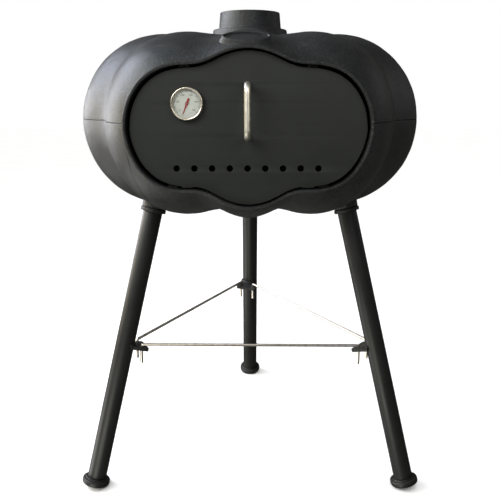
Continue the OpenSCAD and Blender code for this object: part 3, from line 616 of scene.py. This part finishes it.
def skin_grid(plane, grow, side, rows, inner_rows):
    """Points of one shell's skin, as columns by rows, from the seam or the opening to the middle."""
    angle, start = columns(plane, grow, side)
    out, rise = skin_out(angle, side, grow)
    upper_out, upper_rise = skin_out(angle, 1, grow)
    first = np.degrees(np.arcsin(np.clip((start - SECTION_Z) / rise, -1, 1)))
    begin = first[:, None] + side * np.degrees(SEAM_ROWS[None, :] / rise[:, None])
    share = np.linspace(0, 1, rows + 1)[None, 1:]
    t = np.concatenate([begin, begin[:, -1:] + (90.0 * side - begin[:, -1:]) * share], axis=1)
    t = np.radians(t)
    across = np.where(t > 0, upper_out[:, None], out[:, None])
    height = np.where(t > 0, upper_rise[:, None], rise[:, None])
    r = section_r(np.sin(t), across, lobed(angle, SQUARE)[:, None], angle[:, None])
    z = SECTION_Z + height * np.sin(t)
    # From the crown or the bottom in to the middle, where the skin is flat
    last, middle = (COLLAR_HOLE_R, SEAT_Z + grow) if side > 0 else (FLOOR_HOLE_R, FLOOR_Z - grow)
    inner = RING_R + (last - RING_R) * (np.arange(1, inner_rows + 1) / inner_rows)
    edge = SECTION_Z + side * rise
    inner_z = middle + (edge[:, None] - middle) * smooth((inner[None, :] - FLAT_R) / (RING_R - FLAT_R))
    r = np.concatenate([r, np.broadcast_to(inner, (len(angle), inner_rows))], axis=1)
    z = np.concatenate([z, inner_z], axis=1)
    a = np.radians(angle)[:, None]
    front = r * np.cos(a)
    return np.stack([r * np.sin(a) + shift_at(front), -front, z], axis=2), angle


def skin_rings(grid, first=0):
    """Point numbers of a skin's grid, one ring round the body after another."""
    count, rows = grid.shape[:2]
    return (first + np.arange(count * rows).reshape(count, rows).T).tolist()


def rim_profile():
    """Round the opening: how far out from the outline and how far forward, from the skin to its back."""
    back = FRAME_BACK - FRONT_Y
    return [(0.65, -0.25), (1.0, 0.1), (1.0, 0.6), (0.7, 1.0), (0.2, 1.15), (-1.4, 1.15), (-3.0, 1.15),
            (-3.6, 0.95), (-3.95, 0.45), (-4.0, -0.2), (-4.0, -4.0), (-4.0, -12.0), (-4.0, back + 0.8),
            (-3.3, back)]


def offset_outline(x, z, distance):
    """The outline moved outwards along its own normals."""
    dx, dz = np.gradient(x), np.gradient(z)
    length = np.hypot(dx, dz)
    nx, nz = dz / length, -dx / length
    if np.mean(nx * x + nz * (z - SECTION_Z)) < 0:
        nx, nz = -nx, -nz
    return x + nx * distance, z + nz * distance


SEAM_GAP = 0.55
SEAM_GAP_FADE = 20
SEAM_WANDER_FADE = 34
TONGUE = 3


def wavy(points):
    """Casting unevenness: the seam wanders a little up and down."""
    out = points.copy()
    for i, (x, y, z) in enumerate(points):
        near = max(0.0, 1 - abs(z - SEAM_Z) / SEAM_WANDER_FADE)
        if near > 0:
            wander = noise.noise(Vector((x * 0.021, y * 0.021, 4.2))) * 1.5
            wander += noise.noise(Vector((x * 0.07, y * 0.07, 9.1))) * 0.45
            out[i, 2] += wander * near * near
    return out


def seam_gap(z, side):
    """How far points at these heights draw back from the seam."""
    return side * SEAM_GAP * np.clip(1 - np.abs(z - SEAM_Z) / SEAM_GAP_FADE, 0, 1)


def round_seam_edge(column, angle, side):
    """Rounds a column of the skin over at the seam, by a radius that wanders."""
    x, y, _ = column[0]
    size = 1.0 + 0.9 * noise.noise(Vector((x * 0.045, y * 0.045, side * 7.0)))
    size += 0.5 * noise.noise(Vector((x * 0.16, y * 0.16, side * 3.0)))
    size = max(0.35, size) * (1.0 if side < 0 else 0.7)
    outwards = np.array([math.sin(math.radians(angle)), -math.cos(math.radians(angle)), 0])
    for row, at in enumerate(SEAM_ROWS):
        if at < size:
            column[row] -= outwards * (size - math.sqrt(size * size - (size - at) ** 2))


def shell(side):
    """One cast shell and its outer skin's grid: outer skin, inner skin, rim of the opening and seam edge."""
    outer, angle = skin_grid(FRONT_Y, 0, side, 74, 34)
    inner, _ = skin_grid(FRAME_BACK, -WALL, side, 30, 14)
    count = len(outer)
    half = count // 2
    first, last = half - LOBE_SAMPLES - SHOULDER_SAMPLES, half + LOBE_SAMPLES + SHOULDER_SAMPLES
    for i in range(count):
        if not first <= i <= last:
            round_seam_edge(outer[i], angle[i], side)
        if not first < i < last:
            outer[i, :, 2] += seam_gap(outer[i, :, 2], side)
    if side > 0:
        # A tongue inside the seam keeps daylight out of the oven
        inner[:, 0, 2] -= TONGUE
    solid = Solid()
    solid.verts = outer.reshape(-1, 3).tolist() + inner.reshape(-1, 3).tolist()
    outside = skin_rings(outer)
    inside = skin_rings(inner, outer.shape[0] * outer.shape[1])
    solid.faces = bands(outside) + bands(inside)
    if side > 0:
        solid.faces += bands([outside[-1], inside[-1]])
    else:
        solid.faces += [tuple(outside[-1]), tuple(inside[-1])]
    # Rim of the opening
    x, z = half_outline(FRONT_Y, 0, side)
    x, z = np.concatenate([-x[:0:-1], x]), np.concatenate([z[:0:-1], z])
    rings = [outside[0][first:last + 1]]
    for distance, forward in rim_profile():
        ox, oz = offset_outline(x, z, distance)
        oz[0] = oz[-1] = SEAM_Z
        if forward > -1:
            oz = oz + seam_gap(oz, side)
        rings.append([len(solid.verts) + i for i in range(len(ox))])
        solid.verts.extend([px + FRONT_SHIFT, -(FRONT_Y + forward), pz] for px, pz in zip(ox, oz))
    rings.append(inside[0][first:last + 1])
    solid.faces += bands(rings, closed=False)
    # Seam edge, and the cut ends of the rim
    edge = [i % count for i in range(last, first + count + 1)]
    solid.faces += bands([[ring[i] for i in edge] for ring in (outside[0], inside[0])], closed=False)
    for end in (0, -1):
        solid.faces.append(tuple(ring[end] for ring in rings))
    return solid, outer


def roughen(solid, amount):
    """Moves a casting's points along their normals by slow, gentle noise."""
    mesh = build_mesh("rough", solid.verts, solid.faces)
    out = []
    for v in mesh.vertices:
        c = v.co
        push = noise.noise(c * 0.012) * 0.9 + noise.noise(c * 0.04) * 0.35 + noise.noise(c * 0.11) * 0.12
        out.append(tuple(c + v.normal * push * amount))
    solid.verts = out
    bpy.data.meshes.remove(mesh)
    return solid


BADGE_T = 60.6
BADGE_W, BADGE_H = 80.5 / 2, 30 / 2
BADGE_LIP = 4
BADGE_SINE = math.sin(math.radians(BADGE_T))
BADGE_PLACE = (Matrix.Translation((-6.2, -float(section_r(BADGE_SINE, OUT[0][0], SQUARE[0][0], 0)),
                                   SECTION_Z + UP[0][0] * BADGE_SINE))
               @ Matrix.Rotation(math.radians(90 - BADGE_T), 4, "X"))
BADGE_SIDES = 128


def badge(skin):
    """Blank oval badge boss: sunk oval field, flat lip, sloping skirt that runs into the skin below it."""
    rings = [(BADGE_W * s, BADGE_H * s, z) for s, z in ((0.001, 0.5), (0.35, 0.5), (0.7, 0.5), (0.95, 0.5),
                                                        (0.985, 0.65))]
    rings += [(BADGE_W + d, BADGE_H + d, z) for d, z in ((0.2, 2.6), (0.5, 3.2), (1.1, 3.5), (2.2, 3.5),
                                                         (3.2, 3.35), (BADGE_LIP, 2.7))]
    skirt = [k / 8 for k in range(1, 9)]
    rings += [(BADGE_W + BADGE_LIP + 5.4 * k, BADGE_H + BADGE_LIP + 6.4 * k, 2.7 - 9.2 * k) for k in skirt]
    inverse = BADGE_PLACE.inverted()
    inwards = BADGE_PLACE.to_3x3() @ Vector((0, 0, -1))
    verts = []
    for a, b, z in rings:
        for c, s in circle(0, 0, 1, BADGE_SIDES):
            x, y, height = a * c, b * s, z
            hit = skin.ray_cast(BADGE_PLACE @ Vector((x, y, 30)), inwards)[0]
            if a > BADGE_W + BADGE_LIP and hit is not None:
                # Soft fillet between the skirt and the skin
                ground = (inverse @ hit).z - 0.6
                gap = z - ground
                height = ground + (gap + math.sqrt(gap * gap + 2.2)) / 2 - 0.35
            verts.append((x, y, height))
    # Skirt's foot goes well under the skin
    verts += [(x * 0.98, y * 0.98, z - 4) for x, y, z in verts[-BADGE_SIDES:]]
    return verts, capped(numbered(len(rings) + 1, BADGE_SIDES))


LEG_TILT = 14.95
FRONT_LEGS_ANGLE = 117.4
LEG_LEN = 630
FOOT_D = 60
FOOT_T = 12
FOOT_EDGE = FOOT_T / 3
LEG_ANGLES = {"left": 270 - FRONT_LEGS_ANGLE / 2, "right": 270 + FRONT_LEGS_ANGLE / 2, "rear": 90}
FOOT_RS = {"left": 405, "right": 405, "rear": 415}
TILT = math.radians(LEG_TILT)
FOOT_BASE_Z = (FOOT_D / 2 - FOOT_EDGE) * math.sin(TILT) + FOOT_EDGE * (1 - math.cos(TILT))


def leg_place(leg, turn=0.0, along=0.0):
    """A leg's own frame: its origin at the middle of the foot's base, +Z up along the tube."""
    return (Matrix.Rotation(math.radians(LEG_ANGLES[leg]), 4, "Z")
            @ Matrix.Translation((FOOT_RS[leg], 0, FOOT_BASE_Z))
            @ Matrix.Rotation(-TILT, 4, "Y")
            @ Matrix.Rotation(math.radians(turn), 4, "Z") @ Matrix.Translation((0, 0, along)))


NECK_R = 25.0
NECK_FILLET = 11.0
NECK_DRAFT = 0.075


def neck(skin, leg):
    """Cast neck that a leg screws into, with a fillet where it runs into the shell."""
    place = leg_place(leg)
    upwards = place.to_3x3() @ Vector((0, 0, 1))
    inverse = place.inverted()

    def skin_at(x, y):
        hit = skin.ray_cast(place @ Vector((x, y, LEG_LEN - 60)), upwards)[0]
        return (inverse @ hit).z if hit is not None else LEG_LEN + 70

    foot = [(0.5, 0), (12, 0), (NECK_R - 1.2, 0), (NECK_R - 0.5, 0.3), (NECK_R, 1.2)]
    lines = []
    for c, s in circle(0, 0, 1, 72):
        line = [(r, LEG_LEN + z) for r, z in foot]
        top = skin_at((NECK_R + 2) * c, (NECK_R + 2) * s)
        low, high = LEG_LEN + 1.2, max(top - NECK_FILLET, LEG_LEN + 2)
        for k in range(9):
            z = low + (high - low) * k / 8
            line.append((NECK_R + NECK_DRAFT * (z - LEG_LEN), z))
        last_r = line[-1][0]
        for k in range(1, 9):
            w = math.pi / 2 * k / 8
            r = last_r + NECK_FILLET * (1 - math.cos(w))
            z = skin_at(r * c, r * s) - NECK_FILLET * (1 - math.sin(w)) + 0.8 * k / 8
            line.append((r, max(z, line[-1][1] - 6)))
        line.append((line[-1][0] - 2, line[-1][1] + 6))
        lines.append([(r * c, r * s, z) for r, z in line])
    verts = [line[j] for j in range(len(lines[0])) for line in lines]
    return moved(verts, place), capped(numbered(len(lines[0]), len(lines)))


STOP_ANGLES = {1: 48, -1: 128}
DOOR_FACE = FRONT_Y - 12
DOOR_T = 3
DOOR_BACK = DOOR_FACE - DOOR_T
DOOR_GROW = -6
SILL_GROW = -4
LUG_ANGLES = (60, 100, 140, 180, -140, -100, -60)
POST_X = 148
POST_Y = 108
POST_TOP = 650


def fittings(side):
    """Door stops and seam lugs of one shell, and in the lower one the posts for the fire grate."""
    found = Solid()
    th = STOP_ANGLES[side]
    (x,), (z,) = outline_at(np.array([float(th)]), FRONT_Y, SILL_GROW)
    for hand in (-1, 1):
        place = (Matrix.Translation((FRONT_SHIFT + hand * x, 0, z))
                 @ Matrix.Rotation(math.radians(hand * th), 4, "Y"))
        found.add(*soft_box((-8, 3.5 - DOOR_BACK, -10), (8, 6.5 - DOOR_BACK, 6), 1.2), place)
        found.add(*soft_box((-8, 0.5 - DOOR_BACK, -10), (8, 5.5 - DOOR_BACK, -3.5), 1.2), place)
    outer = RING_R + OUT[1][-1] - 3
    for angle in LUG_ANGLES:
        low, high = (SEAM_Z + SEAM_GAP, SEAM_Z + 12) if side > 0 else (SEAM_Z - 12, SEAM_Z - SEAM_GAP)
        found.add(*soft_box((-17, -outer, low), (17, -300, high), 1.5),
                  Matrix.Rotation(math.radians(angle), 4, "Z"))
    if side < 0:
        for x in (-POST_X, POST_X):
            for y in (-POST_Y, POST_Y):
                profile = rounded([(0, FLOOR_Z - 1), (12.5, FLOOR_Z - 1), (11, FLOOR_Z + 20), (11, POST_TOP),
                                   (0, POST_TOP)], [0, 0, 4, 1.5, 0])
                found.add(*revolve(profile, 40), Matrix.Translation((x, y, 0)))
    return found


def build_shell(side, name, node):
    """Makes one cast shell with everything that is cast in one piece with it."""
    solid, outer = shell(side)
    roughen(solid, 1.0)
    rough_outer = solid.verts[:outer.shape[0] * outer.shape[1]]
    skin = BVHTree.FromPolygons(rough_outer, bands(skin_rings(outer)))
    if side > 0:
        solid.add(*badge(skin), BADGE_PLACE)
    else:
        for leg in LEG_ANGLES:
            solid.add(*neck(skin, leg))
    extra = fittings(side)
    solid.add(extra.verts, extra.faces)
    points = wavy(np.array(solid.verts))
    mesh_piece(name, points, solid.faces, "oven", "shell_iron", SHELL_IRON, (node,), 40)


build_shell(1, "upper_casting", "upper_shell")
build_shell(-1, "lower_casting", "lower_shell")

# ---------------------------------------------------------------- flue collar

FLUE_R = 60.5
COLLAR_TOP = 1027
collar_profile = rounded([(FLUE_R, SEAT_Z), (83.5, SEAT_Z), (80.8, SEAT_Z + 18), (68.4, SEAT_Z + 18.4),
                          (65.0, COLLAR_TOP), (FLUE_R, COLLAR_TOP)], [0, 1.0, 3.4, 2.6, 4.2, 1.0], 6)
collar = Solid().add(*revolve(collar_profile, 160))
mesh_piece("collar_casting", roughen(collar, 0.35).verts, collar.faces, "oven", "shell_iron", SHELL_IRON,
           ("flue_collar",), 35)

# ---------------------------------------------------------------- door

DOOR_FOOT_X = 113
DOOR_FOOT_W = 20
DOOR_FOOT_LIFT = 0.4
DOOR_FOOT_MARGIN = 0.6
FITTINGS_X = -4.5
HANDLE_Z = 824
HANDLE_SPAN = 92
GAUGE_X = -114.6
GAUGE_Z = 837
VENT_Z = 719
VENT_PITCH = 33


def door_outline():
    """Outline of the door plate with the two feet that it stands on, seen from the front as (x, z)."""
    x, z = outline_at(np.linspace(-180, 180, 721)[:-1], FRONT_Y, DOOR_GROW)
    sill_x, sill_z = outline_at(np.linspace(175, 100, 900), FRONT_Y, SILL_GROW)
    feet = {}
    for hand in (-1, 1):
        middle = DOOR_FOOT_X + hand * (FITTINGS_X - FRONT_SHIFT)
        inner, outer = middle - DOOR_FOOT_W / 2, middle + DOOR_FOOT_W / 2
        bottom = DOOR_FOOT_LIFT + max(np.interp([inner, outer], sill_x, sill_z))
        feet[hand] = (inner, outer, bottom)
    loop = []
    placed = set()
    for px, pz in zip(x, z):
        hand = 1 if px > 0 else -1
        inner, outer, bottom = feet[hand]
        if pz < SECTION_Z - 60 and inner - DOOR_FOOT_MARGIN < abs(px) < outer + DOOR_FOOT_MARGIN:
            if hand not in placed:
                placed.add(hand)
                # The walk goes from the bottom's middle up the left, over the top and down the right
                corners = [(hand * inner, bottom), (hand * outer, bottom)]
                loop.extend(corners if hand < 0 else corners[::-1])
            continue
        loop.append((px, pz))
    return [(px + FRONT_SHIFT, pz) for px, pz in loop]


# A plate is drawn in X-Y and stands up with its +Z towards the front
STAND_UP = Matrix.Rotation(math.radians(90), 4, "X")
loops = [door_outline()]
loops += [circle(FITTINGS_X + (i - 4) * VENT_PITCH, VENT_Z, 6) for i in range(9)]
loops += [circle(FITTINGS_X, HANDLE_Z + s * HANDLE_SPAN / 2, 4.3, 24) for s in (-1, 1)]
loops += [circle(GAUGE_X, GAUGE_Z, 4.5, 24)]
door_verts, door_faces = plate(loops, DOOR_T, 0.45, 2)
mesh_piece("door_sheet", door_verts, door_faces, "door", "door_black", DOOR_BLACK, ("door_plate",), 50,
           Matrix.Translation((0, -DOOR_BACK, 0)) @ STAND_UP)


def on_door(x, z):
    """Frame of a fitting on the door's face: X right, Y up, Z out towards the user."""
    return Matrix.Translation((x, -DOOR_FACE, z)) @ STAND_UP


# Handle: a round bar bent back at both ends
HANDLE_R = 6
HANDLE_REACH = 54.5
HANDLE_BEND = 14
path = [(0, -HANDLE_SPAN / 2, 0.2 + k * 2) for k in range(2)]
for k in range(13):
    q = math.pi / 2 * k / 12
    path.append((0, -HANDLE_SPAN / 2 + HANDLE_BEND * (1 - math.cos(q)),
                 HANDLE_REACH - HANDLE_BEND * (1 - math.sin(q))))
path += [(p[0], -p[1], p[2]) for p in path[::-1]]
handle = Solid().add(*sweep(path, HANDLE_R, 40, 0.7))
for s in (-1, 1):
    handle.add(*revolve(rounded([(0, -13.5), (4, -13.5), (4, 0.5), (0, 0.5)], [0, 0.8, 0, 0]), 28),
               Matrix.Translation((0, s * HANDLE_SPAN / 2, 0)))
mesh_piece("handle_bar", handle.verts, handle.faces, "door", "handle_steel", HANDLE_STEEL,
           ("door_handle",), 40, on_door(FITTINGS_X, HANDLE_Z))

# ---------------------------------------------------------------- thermometer

GAUGE = on_door(GAUGE_X, GAUGE_Z)
bezel_profile = rounded(
    [(27.56, 7.0), (28.0, 4.3), (29.5, 4.0), (30.0, 7.4), (30.0, 10.2), (28.6, 12.5), (26.6, 12.0),
     (25.5, 10.6), (27.56, 10.6)],
    [0.0, 0.3, 0.5, 0.6, 1.8, 1.4, 0.8, 0.2, 0.0], 5)
mesh_piece("gauge_bezel", *revolve(bezel_profile, 128), "door", "bezel_steel", BEZEL_STEEL,
           ("thermometer_bezel",), 30, GAUGE)


SCALE_FIRST = 222
SCALE_LAST = -42
INK_LOW = 4.79
INK_TOP = 4.86


def scale_turn(share):
    """Where a mark stands round the dial, for a share of the whole scale."""
    return math.radians(SCALE_FIRST + (SCALE_LAST - SCALE_FIRST) * share)


def strokes():
    """Printed scale of the dial: long and short ticks, as thin raised ink."""
    marks = Solid()
    for i in range(51):
        r0, half = (20.6, 0.32) if i % 5 == 0 else (22.4, 0.17)
        corners = [(r0, -half), (24.2, -half), (24.2, half), (r0, half)]
        verts = [(x, y, z) for z in (INK_LOW, INK_TOP) for x, y in corners]
        marks.add(verts, capped(numbered(2, 4)), Matrix.Rotation(scale_turn(i / 50), 4, "Z"))
    return marks


def numerals():
    """Generic numbers round the dial."""
    marks = Solid()
    for i in range(0, 11, 2):
        q = scale_turn(i / 10)
        data = bpy.data.curves.new("digits", "FONT")
        data.body = str(50 * i)
        data.size = 4.3
        data.align_x = "CENTER"
        data.align_y = "CENTER"
        data.extrude = (INK_TOP - INK_LOW) / 2
        mesh = filled(data)
        place = Matrix.Translation((17 * math.cos(q), 17 * math.sin(q), (INK_LOW + INK_TOP) / 2))
        marks.add([tuple(v.co) for v in mesh.vertices], [tuple(f.vertices) for f in mesh.polygons], place)
        bpy.data.meshes.remove(mesh)
    return marks


dial_marks = strokes()
digits = numerals()
dial_marks.add(digits.verts, digits.faces)
mesh_piece("gauge_scale", dial_marks.verts, dial_marks.faces, "door", "door_black", DIAL_INK, (), 30, GAUGE)

# ---------------------------------------------------------------- legs, feet and braces

LEG_R = 20.5
LEG_WALL = 2.5
SOCKET_T = 8
for leg in LEG_ANGLES:
    low, high, top = FOOT_T, LEG_LEN - SOCKET_T, LEG_LEN
    tube = rounded([(LEG_R - LEG_WALL, low), (LEG_R, low), (LEG_R, high), (LEG_R - LEG_WALL, high)],
                   [0.5] * 4, 2)
    mesh_piece(f"leg_{leg}", *revolve(tube, 72), "oven", "leg_black", LEG_BLACK, (f"leg_tube_{leg}",), 40,
               leg_place(leg))
    flange = rounded([(6.1, high), (27, high), (27, top), (6.1, top)], [0, 1.6, 2.2, 0], 5)
    spigot = rounded([(13.8, top - 53), (17.8, top - 53), (17.8, top - 7), (13.8, top - 7)], [0.5] * 4, 2)
    socket = Solid().add(*revolve(flange, 72)).add(*revolve(spigot, 48))
    mesh_piece(f"flange_{leg}", roughen(socket, 0.3).verts, socket.faces, "oven", "bracket_iron",
               BRACKET_IRON, (f"leg_socket_{leg}",), 40, leg_place(leg))
    cap = rounded([(0, 0), (FOOT_D / 2, 0), (FOOT_D / 2, low), (24.2, low + 0.4), (24.0, low + 3.5),
                   (20.7, low + 3.5), (20.7, low + 0.3), (17.8, low + 0.3), (17.8, low + 24.5),
                   (0, low + 24.5)], [0, 4.2, 4.2, 1.0, 1.4, 0.4, 0, 0, 2, 0], 6)
    mesh_piece(f"foot_{leg}", *revolve(cap, 72), "oven", "leg_black", LEG_BLACK, (f"foot_cap_{leg}",), 40,
               leg_place(leg))

ROD_R = 3.3
BRACKET_POS = 316
BRACKET_T = 8
ROD_HOLE_IN = 33
ROD_HOLE_SIDE = 18
BRACKET_TURNS = {"left": -6, "right": -9, "rear": -16}
BRACKET_RISES = {"left": 3, "right": -2, "rear": 6}


def rod_hole(leg, side):
    """Where a rod's upright end passes through a bracket, level with the plate's middle."""
    place = leg_place(leg, BRACKET_TURNS[leg], BRACKET_POS + BRACKET_RISES[leg] + BRACKET_T / 2)
    return place @ Vector((-ROD_HOLE_IN, side * ROD_HOLE_SIDE, 0))


def weld(leg):
    """Weld bead along the joint between a bracket and its tube, a little lumpy."""
    bead = []
    for k in range(61):
        q = math.radians(106 + 148 * k / 60)
        wobble = noise.noise(Vector((k * 0.35, len(leg), 0.3)))
        r = LEG_R + 1.0 + 0.4 * wobble
        bead.append((r * math.cos(q), r * math.sin(q), BRACKET_T + 0.9 + 0.7 * wobble))
    verts, faces = sweep(bead, 3.0, 14, 1.2)
    return [tuple(c + Vector((0, 0, 0.5 * noise.noise(c * 0.45)))) for c in map(Vector, verts)], faces


def bracket_loops():
    """Outline and rod holes of a bracket. The tube's own place is left whole, because the tube fills it."""
    near, far, side, root = 39, 48, ROD_HOLE_SIDE + 9, 23
    shape = [(-8, -root), (-near, -side), (-far, -side), (-far, side), (-near, side), (-8, root)]
    holes = [circle(-ROD_HOLE_IN, s * ROD_HOLE_SIDE, ROD_R + 0.6, 24) for s in (-1, 1)]
    return [rounded(shape, [0, 0, 7.5, 7.5, 0, 0], 8)] + holes


for leg in LEG_ANGLES:
    bracket = Solid().add(*plate(bracket_loops(), BRACKET_T, 0.9, 3)).add(*weld(leg))
    mesh_piece(f"bracket_{leg}", roughen(bracket, 0.4).verts, bracket.faces, "oven", "bracket_iron",
               BRACKET_IRON, (f"brace_bracket_{leg}",), 50,
               leg_place(leg, BRACKET_TURNS[leg], BRACKET_POS + BRACKET_RISES[leg]))

ROD_DROP = 37
ROD_BEND = 6
ROD_RISE = 9


def rod_path(a, b):
    """Centre line of a brace rod: down through one bracket, over to the next, and down through it."""
    a, b = (Vector(hole) + Vector((0, 0, ROD_RISE)) for hole in (a, b))
    length = (b - a).length
    along = (b - a) / length
    down = (along * along.z - Vector((0, 0, 1))).normalized()

    def end(corner, inwards):
        """From the rod's end up and round its bend."""
        points = [corner + down * (ROD_BEND + drop) for drop in (ROD_DROP, ROD_DROP / 2, 0.5)]
        for k in range(9):
            q = math.pi / 2 * k / 8
            points.append(corner + (inwards * (1 - math.cos(q)) + down * (1 - math.sin(q))) * ROD_BEND)
        return points

    middle = [a + along * (ROD_BEND + (length - 2 * ROD_BEND) * k / 24) for k in range(1, 24)]
    return end(a, along) + middle + end(b, -along)[::-1]


for name, start, end in (("front", "left", "right"), ("right", "right", "rear"), ("left", "rear", "left")):
    verts, faces = sweep(rod_path(rod_hole(start, 1), rod_hole(end, -1)), ROD_R, 24, 0.5)
    mesh_piece(f"rod_{name}", verts, faces, "oven", "rod_steel", ROD_STEEL, (f"brace_rod_{name}",), 40)

# ---------------------------------------------------------------- carried-over CAD nodes

KEPT = {
    ZINC: ("seam_bolts", "seam_nuts", "collar_screws", "handle_washers", "handle_nuts", "thermometer_nut",
           "leg_studs", "leg_nuts"),
    BEZEL_STEEL: ("thermometer_case", "thermometer_spindle", "thermometer_probe"),
    DIAL_WHITE: ("thermometer_dial",),
    NEEDLE_RED: ("thermometer_needle",),
    GAUGE_GLASS: ("thermometer_glass",),
    GRATE_IRON: ("fire_grate",),
    GRATE_STEEL: ("cooking_grate",),
}
for material, names in KEPT.items():
    for name in names:
        for material_slot in nodes[name].material_slots:
            material_slot.material = material

# ---------------------------------------------------------------- floor

FLOOR_CELLS = 30


def pale_paper(name):
    """Even, matte, pale floor."""
    f = Finish(name, specular=0.0)
    cloud = f.grain(400, 2)
    f.colour(f.blend(f.spread(cloud, 0.3, 0.7), (0.80, 0.80, 0.80), (0.83, 0.83, 0.83)))
    f.rough(f.spread(cloud, 0.3, 0.7, 0.85, 0.95))
    return f.material


steps = [i - FLOOR_CELLS / 2 for i in range(FLOOR_CELLS + 1)]
floor_mesh = bpy.data.meshes.new("floor")
floor_mesh.from_pydata([(x, y, 0) for y in steps for x in steps], [],
                       bands(numbered(len(steps), len(steps)), closed=False))
floor_mesh.materials.append(pale_paper("floor"))
floor = bpy.data.objects.new("floor", floor_mesh)
bpy.context.scene.collection.objects.link(floor)

# The floor has its own even light and gives none back to the oven
floor.visible_diffuse = False
floor.visible_glossy = False
floor.visible_shadow = False
floor_only = bpy.data.collections.new("floor_only")
floor_only.objects.link(floor)
sun = bpy.data.lights.new("floor_sun", "SUN")
sun.energy = 3.6
sun.angle = math.radians(150)
floor_light = bpy.data.objects.new("floor_sun", sun)
floor_light.location = (0, 0, 4)
bpy.context.scene.collection.objects.link(floor_light)
floor_light.light_linking.receiver_collection = floor_only

# The door and its fittings have two lights to themselves
bright = bpy.data.collections.new("bright_fittings")
for name in ("gauge_bezel", "gauge_scale", "handle_bar", "door_sheet"):
    bright.objects.link(bpy.data.objects[name])
for name in ("thermometer_dial", "thermometer_needle", "thermometer_spindle", "thermometer_case"):
    bright.objects.link(nodes[name])
for light in (disk_light("fittings_left", 240, 25, (0.75, 0.74, 0.69)),
              disk_light("fittings_right", 300, 20, (0.46, 0.44, 0.38))):
    light.light_linking.receiver_collection = bright

bpy.context.view_layer.update()
